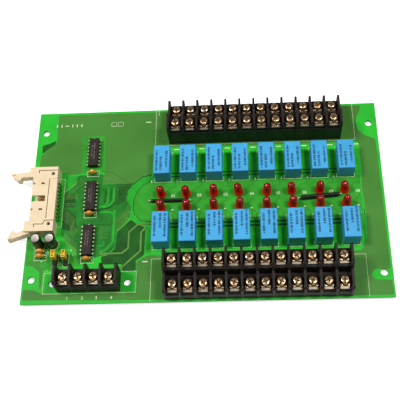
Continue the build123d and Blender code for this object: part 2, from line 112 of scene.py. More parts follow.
class RelayBoardSettings(bpy.types.PropertyGroup):
    """Sizes and colours of the relay module board's finishes"""

    silk_width: length("Legend line", "Width of the printed legend's lines", 0.34)
    track_width: length("Signal track", "Width of the signal tracks", 0.4)
    power_width: length("Power track", "Width of the wide power tracks", 1.8)
    copper_height: length("Copper height", "How far a track stands up under the mask", 0.035)
    edge_round: length("Moulded edge", "Radius on the edges of moulded pieces", 0.15)
    tier_pitch: length("Tier pitch", "Distance between the two rows of a terminal block", 13.0)
    screw_head: length("Screw head", "Diameter of a terminal screw's head", 5.3)
    slot_width: length("Screw slot", "Width of the slot in a screw head", 0.8)
    slot_depth: length("Slot depth", "Depth of the slot in a screw head", 0.8)
    mask_bare: colour("Bare mask", "Solder mask over bare laminate", (0.03, 0.5, 0.035))
    mask_copper: colour("Mask on copper", "Solder mask over a ground plane", (0.066, 0.235, 0.036))
    mask_field: colour("Mask in the relay field", "Solder mask over the relay field", (0.035, 0.33, 0.025))
    # Painted light: the solder mask between the relays is brightened to offset the relays' shade
    mask_gap_painted_light: colour("Mask between relays", "Solder mask between the relays", (0.026, 0.54, 0.02))
    mask_middle: colour("Mask between tracks", "Solder mask round the driver chips", (0.018, 0.19, 0.02))
    mask_dark: colour("Mask in dark areas", "Solder mask between two planes", (0.016, 0.105, 0.013))
    mask_track: colour("Mask on tracks", "Solder mask over a track", (0.12, 0.29, 0.05))
    laminate: colour("Laminate", "Cut edges of the board", (0.09, 0.36, 0.06))
    legend: colour("Legend", "Printed legend", (0.72, 0.82, 0.52))
    relay_blue: colour("Relay cover", "Moulded relay covers", (0.06, 0.39, 0.74))
    lamp_red: colour("Lamp", "Lamp epoxy", (0.56, 0.006, 0.004))
    screw_brass: colour("Screw", "Plated screws and clamp plates", (0.9, 0.6, 0.33))
    header_beige: colour("Header", "Ribbon cable header", (0.85, 0.68, 0.45))
    shunt_yellow: colour("Shunt", "Jumper shunts", (0.95, 0.6, 0.015))
    moulding_black: colour("Terminal block", "Black moulded terminal blocks", (0.015, 0.0105, 0.0075))


# Steps that every piece is modelled with

def deselect():
    """Leaves edit mode and leaves nothing selected."""
    if bpy.context.object and bpy.context.object.mode != "OBJECT":
        bpy.ops.object.mode_set(mode="OBJECT")
    bpy.ops.object.select_all(action="DESELECT")


def activate(piece):
    deselect()
    piece.select_set(True)
    bpy.context.view_layer.objects.active = piece


def settle(piece):
    """Puts the object's place, turn and scale into its mesh."""
    activate(piece)
    bpy.ops.object.transform_apply(location=True, rotation=True, scale=True)


def link(name, data):
    piece = bpy.data.objects.new(name, data)
    bpy.context.scene.collection.objects.link(piece)
    return piece


def start_box(name, low, high):
    """A box between two corners, from which a piece is shaped."""
    deselect()
    low, high = Vector(low), Vector(high)
    bpy.ops.mesh.primitive_cube_add(size=1, location=(low + high) / 2, scale=high - low)
    piece = bpy.context.object
    piece.name = name
    settle(piece)
    return piece


def pick(piece, kind, test):
    """In edit mode, selects the faces, edges or vertices that pass the test."""
    bpy.ops.mesh.select_mode(type=kind)
    bpy.ops.mesh.select_all(action="DESELECT")
    mesh = bmesh.from_edit_mesh(piece.data)
    for element in {"VERT": mesh.verts, "EDGE": mesh.edges, "FACE": mesh.faces}[kind]:
        if test(element):
            element.select_set(True)
    mesh.select_flush_mode()
    bmesh.update_edit_mesh(piece.data)


def enter(piece):
    activate(piece)
    bpy.ops.object.mode_set(mode="EDIT")


def leave():
    bpy.ops.object.mode_set(mode="OBJECT")


def smooth(piece, degrees):
    activate(piece)
    bpy.ops.object.shade_smooth_by_angle(angle=math.radians(degrees))
    return piece


def round_edges(piece, width, segments, test):
    """Bevels the edges that pass the test, by a width in metres."""
    enter(piece)
    pick(piece, "EDGE", test)
    bpy.ops.mesh.bevel(offset=width, segments=segments, profile=0.5, affect="EDGES")
    leave()


def apply(piece, kind, **values):
    """Adds one modifier with these values and applies it."""
    modifier = piece.modifiers.new(kind.title(), kind)
    for name, value in values.items():
        setattr(modifier, name, value)
    activate(piece)
    bpy.ops.object.modifier_apply(modifier=modifier.name)


def arc(start, stop, step):
    """Angles for the points of an arc, given in degrees."""
    return [math.radians(angle) for angle in range(start, stop, step)]


def lathe(name, profile, steps, closed=False, sweep=360):
    """A turned piece about Z, from (radius, height) points in mm. A closed profile makes a ring or a tube,
    or a part of one, and an open one starts and ends on the axis."""
    mesh = bpy.data.meshes.new(name)
    corners = [(radius * MM, 0, height * MM) for radius, height in profile]
    edges = [(i, i + 1) for i in range(len(corners) - 1)]
    if closed:
        edges.append((len(corners) - 1, 0))
    mesh.from_pydata(corners, edges, [])
    piece = link(name, mesh)
    enter(piece)
    bpy.ops.mesh.select_all(action="SELECT")
    bpy.ops.mesh.spin(steps=steps, angle=math.radians(sweep), center=(0, 0, 0), axis=(0, 0, 1))
    bpy.ops.mesh.select_all(action="SELECT")
    bpy.ops.mesh.remove_doubles(threshold=MERGE)
    bpy.ops.mesh.fill_holes(sides=0)
    bpy.ops.mesh.normals_make_consistent(inside=False)
    leave()
    return piece


def place_copy(model, place, turn=0.0, lean=(0.0, 0.0)):
    """A copy with its own mesh, turned about Z and leant, set down at a place."""
    copy = link(model.name, model.data.copy())
    matrix = Matrix.Translation(place) @ Matrix.Rotation(math.radians(lean[0]), 4, "Y")
    matrix = matrix @ Matrix.Rotation(math.radians(lean[1]), 4, "X")
    copy.data.transform(matrix @ Matrix.Rotation(math.radians(turn), 4, "Z"))
    return copy


def remove(*pieces):
    for piece in pieces:
        bpy.data.objects.remove(piece)


def join(pieces, name):
    """Joins like pieces into one."""
    activate(pieces[0])
    for piece in pieces:
        piece.select_set(True)
    bpy.ops.object.join()
    joined = bpy.context.object
    joined.name = name
    joined.data.name = name
    return joined


def finish_piece(piece, finish, slot, *nodes):
    """Gives a piece its finish, unless it has its own, and lets it ride on the board. The slot is not used.
    """
    if finish:
        piece.data.materials.append(FINISH[finish])
    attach(piece, "board")
    if nodes:
        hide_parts(*nodes)


def set_down(model, name, places, finish, slot, *nodes):
    """Copies of a model joined to one finished piece. A place may come with a turn and a lean."""
    copies = [place_copy(model, *place) for place in places]
    finish_piece(join(copies, name), finish, slot, *nodes)


def solids_of(node):
    """Lowest and highest corner of each separate solid in a node, from left to right."""
    mesh = bmesh.new()
    mesh.from_mesh(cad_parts[node].data)
    bmesh.ops.remove_doubles(mesh, verts=mesh.verts, dist=MERGE)
    left, boxes = set(mesh.verts), []
    while left:
        reached = [left.pop()]
        for vertex in reached:
            for edge in vertex.link_edges:
                other = edge.other_vert(vertex)
                if other in left:
                    left.remove(other)
                    reached.append(other)
        low = Vector([min(v.co[i] for v in reached) for i in range(3)])
        high = Vector([max(v.co[i] for v in reached) for i in range(3)])
        boxes.append((low, high))
    mesh.free()
    return sorted(boxes, key=lambda box: (round(box[0].x, 4), box[0].y))


def feet_of(node):
    """Where a node's leads come out under the board."""
    reach = 1.0 * MM
    feet = []
    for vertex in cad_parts[node].data.vertices:
        if vertex.co.z < BOARD_LOW.z - 0.5 * MM:
            for foot in feet:
                if (foot[0].xy / foot[1] - vertex.co.xy).length < reach:
                    foot[0] += vertex.co
                    foot[1] += 1
                    break
            else:
                feet.append([vertex.co.copy(), 1])
    return [total / count for total, count in feet]


# Finishes

def shade(value, factor):
    return tuple(min(1.0, channel * factor) for channel in value)


class Nodes:
    """Adds nodes to a tree. Each step gives back the new node's output."""

    def __init__(self, tree):
        self.tree = tree

    def add(self, kind):
        return self.tree.nodes.new("ShaderNode" + kind)

    def feed(self, target, value):
        """Gives an input a plain value or another node's output."""
        if isinstance(value, bpy.types.NodeSocket):
            self.tree.links.new(value, target)
        else:
            target.default_value = value

    def spread(self, source, low, high, start=0.3, end=0.7):
        """Maps a value to a range."""
        node = self.add("MapRange")
        names = ("Value", "From Min", "From Max", "To Min", "To Max")
        for name, value in zip(names, (source, start, end, low, high)):
            self.feed(node.inputs[name], value)
        return node.outputs["Result"]

    def blend(self, source, first, second):
        """A colour that goes from one to another with a value."""
        node = self.add("Mix")
        node.data_type = "RGBA"
        self.feed(node.inputs["Factor"], source)
        for socket, value in (("A", first), ("B", second)):
            target = [i for i in node.inputs if i.name == socket and i.type == "RGBA"][0]
            self.feed(target, value if isinstance(value, bpy.types.NodeSocket) else (*value, 1))
        return [o for o in node.outputs if o.type == "RGBA"][0]

    def sums(self, source, *steps):
        """Takes a value through sums, each an operation and its second value or output."""
        for operation, value in steps:
            step = self.add("Math")
            step.operation = operation
            self.feed(step.inputs[0], source)
            self.feed(step.inputs[1], value)
            source = step.outputs[0]
        return source

    def camera_ray(self):
        """One for what the camera sees itself, and zero for light on the piece."""
        return self.add("LightPath").outputs["Is Camera Ray"]


class Finish(Nodes):
    """A material, with its patterns laid out in the piece's own axes and all sizes in mm."""

    def __init__(self, name, **sockets):
        self.material = bpy.data.materials.new(name)
        self.material.use_nodes = True
        super().__init__(self.material.node_tree)
        self.shader = self.tree.nodes["Principled BSDF"]
        self.place = self.add("TexCoord").outputs["Object"]
        self.set(**sockets)

    def set(self, **sockets):
        """Sets the shader's inputs, named with _ for a space."""
        for name, value in sockets.items():
            self.feed(self.shader.inputs[name.replace("_", " ")], value)

    def noise(self, size, detail=3.0):
        node = self.add("TexNoise")
        node.inputs["Scale"].default_value = 1 / (size * MM)
        node.inputs["Detail"].default_value = detail
        node.inputs["Roughness"].default_value = 0.5
        self.feed(node.inputs["Vector"], self.place)
        return node.outputs["Fac"]

    def mottled(self, base, share, size):
        """Clouds of a colour that is a share darker in places and a share paler in others."""
        return self.blend(self.spread(self.noise(size), 0, 1), shade(base, 1 - share), shade(base, 1 + share))

    def along(self, axis, start):
        """The distance along an axis from a start."""
        split = self.add("SeparateXYZ")
        self.feed(split.inputs["Vector"], self.place)
        return self.sums(split.outputs[axis], ("SUBTRACT", start))

    def upward(self):
        """The share of the surface's direction that points up."""
        split = self.add("SeparateXYZ")
        self.feed(split.inputs["Vector"], self.add("NewGeometry").outputs["Normal"])
        return split.outputs["Z"]

    def bump(self, grain, depth):
        node = self.add("Bump")
        node.inputs["Strength"].default_value = 1.0
        node.inputs["Distance"].default_value = depth * MM
        self.feed(node.inputs["Height"], self.noise(grain))
        self.set(Normal=node.outputs["Normal"])


def make_finish(name, base, rough, mottle=0.1, cloud=6.0, grain=0.35, depth=0.01, **sockets):
    """A surface with clouds in its colour, uneven gloss and a fine grain."""
    finish = Finish(name, **sockets)
    gloss = finish.spread(finish.noise(cloud / 2), rough * 0.8, min(1, rough * 1.2))
    finish.set(Base_Color=finish.mottled(base, mottle, cloud), Roughness=gloss)
    finish.bump(grain, depth)
    return finish.material


def make_laminate():
    """Bare board: bright mask on both faces, paler glass laminate on the cut edges."""
    look = settings()
    finish = Finish("bare_mask", **MASK_SHINE)
    face = finish.spread(finish.sums(finish.upward(), ("ABSOLUTE", 0.0)), 0, 1, 0.4, 0.6)
    mask = finish.mottled(look.mask_bare, 0.12, 16)
    gloss = finish.spread(finish.noise(6), 0.26, 0.4)
    finish.set(Base_Color=finish.blend(face, tuple(look.laminate), mask), Roughness=gloss)
    finish.bump(0.6, 0.006)
    return finish.material


def make_plating(name, base, dull, rough=0.3, size=1.5):
    """Plated metal with dull, darker patches, as on handled screws."""
    finish = Finish(name, Metallic=1.0)
    patches = finish.spread(finish.noise(size, 2.0), 0, 1, 0.35, 0.65)
    gloss = finish.spread(patches, rough * 1.5, rough * 0.75, 0.0, 1.0)
    finish.set(Base_Color=finish.blend(patches, dull, base), Roughness=gloss)
    finish.bump(0.5, 0.01)
    return finish.material


def make_terminal_metal(name, front):
    """Bright front lip of the terminals and painted shade over their rear, in rows that follow each other at
    the tier pitch.
    """
    finish = Finish(name, Metallic=1.0)
    depth = finish.sums(finish.along("Y", BOARD_LOW.y + front * MM), ("MODULO", settings().tier_pitch))
    rear = finish.spread(depth, 0, 1, 1.4 * MM, 1.7 * MM)
    patches = finish.spread(finish.noise(1.5, 2.0), 0, 1, 0.3, 0.6)
    lip = finish.blend(patches, (0.46, 0.37, 0.26), (0.72, 0.6, 0.44))
    gloss = finish.spread(patches, 0.42, 0.28, 0.0, 1.0)
    # Painted shade: the rear of each terminal is near black, while the front lip keeps the metal's colour
    finish.set(Base_Color=finish.blend(rear, lip, (0.03, 0.021, 0.013)), Roughness=gloss)
    finish.bump(0.5, 0.01)
    return finish.material


def make_lamp_epoxy():
    """Tinted epoxy, with painted light in its colour: deep red in the dome and a painted glow low down, where
    light gathers.
    """
    red = settings().lamp_red
    finish = Finish("lamp_epoxy", Subsurface_Weight=0.85, Subsurface_Scale=3.0 * MM)
    height = finish.along("Z", BOARD_HIGH.z)
    # Painted glow: the colour is brighter low down and darker in the dome
    tint = finish.blend(finish.spread(height, 0, 1, 3.5 * MM, 8.0 * MM), shade(red, 1.25), shade(red, 0.5))
    gleam = finish.spread(height, 0.05, 0.65, 6.5 * MM, 8.0 * MM)
    gloss = finish.spread(finish.noise(1.5), 0.05, 0.12)
    finish.set(Base_Color=tint, Specular_IOR_Level=gleam, Roughness=gloss)
    finish.set(Subsurface_Radius=(1.0, 0.12, 0.08))
    finish.bump(1.0, 0.004)
    return finish.material


def make_header_moulding():
    """Beige moulding, with painted shade on the low floors of the grooves in the header's top and along its
    low band. The front groove's slanting part is drawn as a dark line of painted shade."""
    finish = Finish("header_moulding", **MOULDED_SHINE)
    x = finish.along("X", BOARD_LOW.x)
    y = finish.along("Y", BOARD_LOW.y + HEADER_MIDDLE * MM)
    z = finish.along("Z", BOARD_HIGH.z)
    right = finish.sums(x, ("SUBTRACT", SLANT_MIDDLE[0] * MM))
    back = finish.sums(y, ("SUBTRACT", SLANT_MIDDLE[1] * MM))
    (right_run, back_run), (right_rise, back_rise) = (
        [finish.sums(way, ("MULTIPLY", share)) for way in (right, back)] for share in SLANT)

    def stroke(aside, along, half_width, half_length):
        """One on a line between soft edges, and zero off it."""
        across = finish.spread(finish.sums(aside, ("ABSOLUTE", 0.0)), 1, 0, *(v * MM for v in half_width))
        within = finish.spread(finish.sums(along, ("ABSOLUTE", 0.0)), 1, 0, *(v * MM for v in half_length))
        return finish.sums(across, ("MULTIPLY", within))

    line = stroke(finish.sums(right_rise, ("SUBTRACT", back_run)),
                  finish.sums(right_run, ("ADD", back_rise)), (0.22, 0.3), (1.3, 1.4))
    stray = stroke(finish.sums(right_rise, ("ADD", back_run)),
                   finish.sums(back_rise, ("SUBTRACT", right_run)), (0.3, 0.34), (1.75, 1.8))
    # Painted shade: up-facing surfaces low in the grooves and by the low band, and the slanting line, go dark
    groove_shade = finish.sums(
        finish.spread(finish.sums(y, ("ABSOLUTE", 0.0)), 0, 1, 14.1 * MM, 14.2 * MM),
        ("MAXIMUM", finish.spread(x, 1, 0, 13.1 * MM, 13.2 * MM)),
        ("MULTIPLY", finish.sums(stray, ("MULTIPLY", -1.0), ("ADD", 1.0))),
        ("MULTIPLY", finish.spread(z, 0, 1, 8.4 * MM, 8.5 * MM)),
        ("MULTIPLY", finish.spread(z, 1, 0, 8.75 * MM, 8.85 * MM)),
        ("MAXIMUM", line),
        ("MULTIPLY", finish.spread(finish.upward(), 0, 1, 0.7, 0.9)),
    )
    unshaded_beige = finish.mottled(settings().header_beige, 0.05, 7)
    gloss = finish.spread(finish.noise(3.5), 0.4, 0.6)
    # The dark brown is the painted shade
    finish.set(Base_Color=finish.blend(groove_shade, unshaded_beige, (0.075, 0.038, 0.022)), Roughness=gloss)
    finish.bump(0.3, 0.008)
    return finish.material


MASK_SHINE = {"Specular_IOR_Level": 0.14}
MOULDED_SHINE = {"Specular_IOR_Level": 0.3}


def make_finishes():
    """All finishes, by name."""
    look = settings()
    mask, moulded = MASK_SHINE, MOULDED_SHINE
    made = [
        make_laminate(),
        make_header_moulding(),
        make_lamp_epoxy(),
        *(make_terminal_metal(name, front) for name, front in ROW_FRONTS.items()),
        make_plating("screw_plate", look.screw_brass, shade(look.screw_brass, 0.5), 0.3, 2.6),
        make_plating("clamp_plate", look.screw_brass, shade(look.screw_brass, 0.6), 0.3),
        # A dark copy of the clamp plating, as painted shade on the clamp plates
        make_plating("clamp_painted_shade", (0.05, 0.035, 0.022), (0.02, 0.014, 0.009), 0.4),
        make_plating("tinned_metal", (0.9, 0.94, 0.62), (0.5, 0.52, 0.34), 0.36),
        make_plating("contact_metal", (0.5, 0.37, 0.16), (0.22, 0.15, 0.06), 0.26),
        make_plating("solder", (0.36, 0.4, 0.27), (0.2, 0.24, 0.15), 0.3),
        make_finish("copper_mask", look.mask_copper, 0.36, 0.12, 34, 0.6, 0.006, **mask),
        # Solder mask between the relays, brightened as painted light against the relays' shade
        make_finish("gap_mask_painted_light", look.mask_gap_painted_light, 0.34, 0.22, 7, 0.6, 0.006, **mask),
        make_finish("field_mask", look.mask_field, 0.34, 0.22, 11, 0.6, 0.006, **mask),
        make_finish("middle_mask", look.mask_middle, 0.34, 0.25, 9, 0.6, 0.006, **mask),
        make_finish("dark_mask", look.mask_dark, 0.4, 0.25, 8, 0.6, 0.006, Specular_IOR_Level=0.12),
        make_finish("run_mask", shade(look.mask_bare, 0.76), 0.34, 0.2, 9, 0.6, 0.006, **mask),
        make_finish("track_mask", look.mask_track, 0.32, 0.16, 5, 0.6, 0.005, **mask),
        make_finish("legend_ink", look.legend, 0.6, 0.12, 0.8, 0.15, 0.004, **mask),
        make_finish("relay_cover", look.relay_blue, 0.42, 0.06, 22, 0.22, 0.006, **moulded),
        make_finish("relay_print", (0.005, 0.035, 0.09), 0.55, 0.3, 0.5, 0.15, 0.003, **moulded),
        make_finish("relay_base", (0.02, 0.1, 0.17), 0.6, **moulded),
        make_finish("terminal_black", look.moulding_black, 0.5, 0.3, 3, 0.4, 0.012, **moulded),
        # Painted shade for the screws' washers and slot floors and for the header's fixing holes
        make_finish("screw_painted_shade", (0.05, 0.033, 0.02), 0.7, 0.3, 0.8, **moulded),
        make_finish("chip_epoxy", (0.021, 0.014, 0.01), 0.62, 0.3, 2, 0.12, 0.012, **moulded),
        make_finish("chip_print", (0.17, 0.15, 0.13), 0.6, 0.35, 0.7, 0.1, 0.003, **moulded),
        make_finish("orange_dip", (0.75, 0.29, 0.025), 0.26, 0.2, 1.2, 0.5, 0.03, Coat_Weight=0.3),
        make_finish("can_metal", (0.4, 0.38, 0.33), 0.5, 0.12, 1.5, 0.2, 0.006, Metallic=1.0),
        make_finish("sleeve_film", (0.012, 0.01, 0.009), 0.28, 0.25, 3, 0.4, 0.01),
        make_finish("sleeve_stripe", (0.32, 0.3, 0.27), 0.4, 0.12, 1.0, 0.3, 0.004),
        make_finish("bung_rubber", (0.02, 0.018, 0.016), 0.7, **moulded),
        make_finish("jumper_black", (0.01, 0.01, 0.009), 0.45, **moulded),
        make_finish("shunt_moulding", look.shunt_yellow, 0.4, 0.15, 1.5, 0.25, 0.008),
        make_finish("latch_moulding", look.header_beige, 0.46, 0.07, 4, 0.3, 0.008, **moulded),
        make_finish("sleeve_black", (0.01, 0.0085, 0.007), 0.4, 0.3, 2, 0.3, 0.01, **moulded),
    ]
    return {material.name.split(".")[0]: material for material in made}


FINISH = {}
NODE_FINISH = {
    "header_housing": "header_moulding", "header_pins": "contact_metal",
    "rear_latch": "latch_moulding", "front_latch": "latch_moulding",
    "chip_leads": "tinned_metal", "ceramic_leads": "tinned_metal",
    "electrolytic_cans": "can_metal", "electrolytic_sleeves": "sleeve_film",
    "electrolytic_bungs": "bung_rubber", "electrolytic_leads": "tinned_metal",
    "jumper_bases": "jumper_black", "jumper_pins": "contact_metal", "jumper_shunts": "shunt_moulding",
    "relay_bases": "relay_base", "relay_pins": "tinned_metal", "lamp_leads": "tinned_metal",
    "upper_block_housing": "terminal_black", "lower_block_housing": "terminal_black",
    "supply_block_housing": "terminal_black", "upper_terminals": "upper_terminal",
    "lower_terminals": "lower_terminal", "supply_terminals": "supply_terminal",
    "link_wires": "tinned_metal", "link_sleeves": "sleeve_black",
    "circuit_board": "bare_mask", "ceramic_capacitors": "orange_dip",
    **{name: "relay_cover" for name in RELAY_NODES},
    **{name: "chip_epoxy" for name in CHIP_NODES},
}
SOFT_EDGED = [
    "header_housing", "rear_latch", "front_latch", "jumper_bases", *CHIP_NODES, *RELAY_NODES,
    "upper_block_housing", "lower_block_housing", "supply_block_housing",
]


class RELAYBOARD_OT_finishes(bpy.types.Operator):
    """Give the frame's own pieces their finishes and soften their moulded edges"""

    bl_idname = "relayboard.finishes"
    bl_label = "Finishes"

    def execute(self, context):
        FINISH.update(make_finishes())
        for name, finish in NODE_FINISH.items():
            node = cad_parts[name]
            node.data.materials.clear()
            node.data.materials.append(FINISH[finish])
        for name in SOFT_EDGED:
            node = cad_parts[name]
            weld = node.modifiers.new("Weld", "WELD")
            weld.merge_threshold = MERGE
            edge = node.modifiers.new("Bevel", "BEVEL")
            edge.width = settings().edge_round
            edge.segments = 2
            edge.limit_method = "ANGLE"
            edge.angle_limit = math.radians(40)
        return {"FINISHED"}


# Board: copper areas and tracks under the mask, and the printed legend

def rounded(points, radius):
    """The outline with its corners rounded by a radius, all in mm."""
    result = []
    for i, corner in enumerate(points):
        here = Vector(corner)
        before, after = Vector(points[i - 1]), Vector(points[(i + 1) % len(points)])
        reach = min(radius, (before - here).length / 2.1, (after - here).length / 2.1)
        first = here + (before - here).normalized() * reach
        last = here + (after - here).normalized() * reach
        for step in range(5):
            t = step / 4
            result.append(tuple(first * (1 - t) ** 2 + here * 2 * t * (1 - t) + last * t * t))
    return result


def add_line(curve, points, closed=False):
    """Adds a line through places on the board to a curve."""
    line = curve.splines.new("POLY")
    line.points.add(len(points) - 1)
    for point, (x, y) in zip(line.points, points):
        point.co = (*spot(x, y), 1)
    line.use_cyclic_u = closed


def flat_areas(name, outlines, top, radius):
    """Thin sheets on the board with these outlines, their corners rounded, up to a height in mm."""
    curve = bpy.data.curves.new(name, "CURVE")
    curve.dimensions = "2D"
    curve.fill_mode = "BOTH"
    curve.extrude = 0.01 * MM
    for outline in outlines:
        add_line(curve, rounded(outline, radius), closed=True)
    piece = link(name, curve)
    activate(piece)
    bpy.ops.object.convert(target="MESH")
    rise = BOARD_HIGH.z + top * MM - max(vertex.co.z for vertex in piece.data.vertices)
    piece.data.transform(Matrix.Translation((0, 0, rise)))
    return piece


def flat_lines(name, lines, width, rise):
    """Low rounded ridges along lines, such as tracks under the mask or legend lines; sizes in mm."""
    curve = bpy.data.curves.new(name, "CURVE")
    curve.dimensions = "3D"
    curve.bevel_depth = width / 2 * MM
    curve.bevel_resolution = 1
    curve.use_fill_caps = True
    for points in lines:
        add_line(curve, points)
    piece = link(name, curve)
    activate(piece)
    bpy.ops.object.convert(target="MESH")
    flat = Matrix.Diagonal((1, 1, 2 * rise / width, 1))
    base = Matrix.Translation((0, 0, BOARD_HIGH.z))
    piece.data.transform(base @ flat @ base.inverted())
    return piece


def bundle(route, count, step):
    """Copies of a route, each a step in mm further on."""
    return [[(x + step[0] * i, y + step[1] * i) for x, y in route] for i in range(count)]


def box_line(x0, y0, x1, y1):
    return [(x0, y0), (x1, y0), (x1, y1), (x0, y1), (x0, y0)]


def relay_places():
    """Centre of each relay on the board in mm, in the order of the nodes."""
    places = []
    for name in RELAY_NODES:
        low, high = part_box(name)
        middle = (low + high) / 2 - BOARD_LOW
        places.append((middle.x / MM, middle.y / MM))
    return places


GROUND_PLANE = (
    (12.4, 130.4), (12.6, 109.6), (3.3, 100.2), (2.7, 88.2), (17.2, 87.2), (24.0, 85.5), (30.6, 86.0),
    (29.9, 113.4), (44.2, 113.4), (45.6, 86.8), (44.5, 78.3), (64.4, 77.9), (69.8, 82.6), (76.2, 84.5),
    (76.4, 103.4), (206.4, 103.4), (207.5, 101.7), (207.6, 81.3), (206.6, 72.2), (207.3, 58.9),
    (207.6, 46.0), (206.6, 36.7), (203.0, 29.3), (84.0, 28.4), (77.3, 29.6), (73.4, 28.7), (68.3, 25.3),
    (68.6, 19.4),
    (68.7, 6.0), (13.0, 6.0), (8.0, 8.6), (1.0, 9.2), (1.0, 2.6), (64.0, 1.4), (219.1, 1.4), (218.9, 10.4),
    (209.0, 10.9), (206.9, 14.2), (209.6, 17.3), (218.7, 17.2), (218.6, 60.0), (218.1, 105.2), (212.0, 107.8),
    (207.4, 112.5), (206.9, 119.5), (209.6, 125.5), (211.0, 130.4),
)
SUPPLY_PLANE = (
    (5.0, 24.0), (9.9, 20.4), (10.6, 9.8), (11.8, 9.6), (12.0, 20.8), (6.4, 26.4), (6.2, 29.4), (5.0, 29.4),
)
RELAY_FIELD = (
    (206.0, 79.4), (76.1, 79.4), (70.7, 76.3), (67.3, 72.2), (65.3, 66.6), (65.3, 60.4), (66.8, 55.9),
    (70.1, 52.4), (77.1, 51.6), (206.0, 51.6),
)
DRIVER_FIELD = (
    (21.2, 44.0), (21.0, 72.5), (28.0, 79.0), (28.4, 85.0), (45.2, 85.2), (44.6, 78.0), (54.2, 77.4),
    (64.2, 77.2), (60.6, 72.0), (63.6, 60.5), (62.6, 54.2), (55.4, 45.6), (54.8, 35.0), (50.5, 30.5),
    (46.0, 29.6), (31.5, 24.0), (31.5, 33.0),
)
UPPER_GAPS = ((77.4, 81.0), (77.4, 100.6), (205.6, 100.6), (205.6, 81.0))
FIELD_RIM = (
    (77.2, 84.0), (69.9, 82.0), (64.6, 77.4), (61.2, 72.0), (60.6, 66.4), (63.9, 60.5), (63.0, 54.4),
    (68.6, 50.4), (77.1, 50.9), (77.1, 52.2), (70.5, 53.0), (67.2, 56.3), (65.8, 60.6), (65.8, 66.4),
    (67.7, 71.9), (71.0, 75.8), (77.2, 79.0),
)
CHIP_WINDOW = ((30.2, 86.2), (30.2, 113.2), (44.0, 113.2), (45.4, 86.8))
CORNER_FIELD = (
    (1.2, 43.2), (17.8, 36.7), (30.1, 31.3), (34.2, 23.9), (19.3, 21.2), (12.1, 21.2), (10.1, 20.0),
    (5.5, 24.2), (1.1, 24.3), (0.7, 35.7),
)
LOWER_GAPS = ((77.4, 34.0), (77.4, 46.4), (205.6, 46.4), (205.6, 34.0))
DARK_AREAS = (
    ((54.6, 76.6), (63.2, 76.6), (60.8, 73.1), (60.2, 68.9), (59.6, 66.2), (54.9, 62.9)),
    ((55.6, 45.0), (64.0, 53.2), (68.3, 49.4), (73.0, 47.8), (73.0, 29.6), (68.0, 25.9), (68.3, 19.6),
     (59.9, 19.6), (59.9, 24.0), (47.4, 24.0), (46.6, 29.2), (50.8, 30.0), (55.0, 34.6)),
    # This area, to the right of the header, is a painted shadow of the header
    ((21.3, 62.8), (21.2, 72.0), (27.6, 72.2), (28.6, 66.0), (28.2, 62.4)),
    ((21.4, 48.0), (21.3, 61.2), (24.3, 61.6), (29.4, 56.4), (29.8, 50.5), (32.0, 48.0), (26.0, 46.4)),
    ((8.6, 109.2), (12.2, 111.2), (11.8, 108.4), (3.9, 101.6), (3.4, 107.6)),
)
STRIP_AREAS = (
    ((73.5, 47.4), (76.7, 47.4), (77.0, 30.4), (73.6, 29.8)),
    ((22.0, 74.4), (28.2, 80.8), (28.2, 84.6), (21.4, 84.6), (20.8, 79.0)),
)


def signal_tracks():
    """Signal tracks: the header's fan, the bundles round the chips and the runs to the relay field."""
    lines = []
    lines += bundle([(21.3, 71.4), (29.5, 71.4)], 4, (0, -0.95))
    lines += bundle([(21.3, 65.4), (28.6, 65.4)], 2, (0, -1.15))
    lines += bundle([(21.4, 61.4), (28.6, 54.9), (28.6, 49.4), (31.2, 47.2)], 5, (-0.55, -1.15))
    lines += bundle([(22.6, 45.4), (31.0, 37.8)], 6, (0.25, -1.45))
    lines += bundle([(21.5, 74.6), (27.8, 80.4), (31.2, 82.8)], 4, (0.9, -0.9))
    lines += bundle([(44.6, 48.2), (50.0, 48.2)], 6, (0, -1.35))
    lines += bundle([(52.8, 52.0), (60.4, 59.6)], 9, (0.33, -0.88))
    lines += bundle([(46.0, 84.9), (51.0, 84.4), (55.6, 81.0)], 3, (-0.3, -1.1))
    lines += [[(60.4 + 0.33 * i, 59.6 - 0.88 * i), (61.8 + 0.4 * i, 62.5 - 1.2 * i)] for i in range(5)]
    return lines


def field_tracks():
    """Tracks from the lamps out to the relays on both sides of each."""
    lines = []
    for x, y in relay_places():
        if y > 66:
            lines.append([(x + 2.6, 71.8), (x + 5.4, 74.6), (x + 8.0, 74.6), (x + 8.0, 78.6)])
            lines.append([(x + 4.6, 62.8), (x + 7.4, 65.6), (x + 7.4, 67.4)])
        else:
            lines.append([(x + 3.4, 62.2), (x + 6.6, 57.6), (x + 6.6, 52.2)])
            lines.append([(x + 5.0, 59.6), (x + 9.4, 55.4), (x + 9.4, 52.2)])
            lines.append([(x + 8.4, 45.8), (x + 8.4, 34.6)])
    return lines


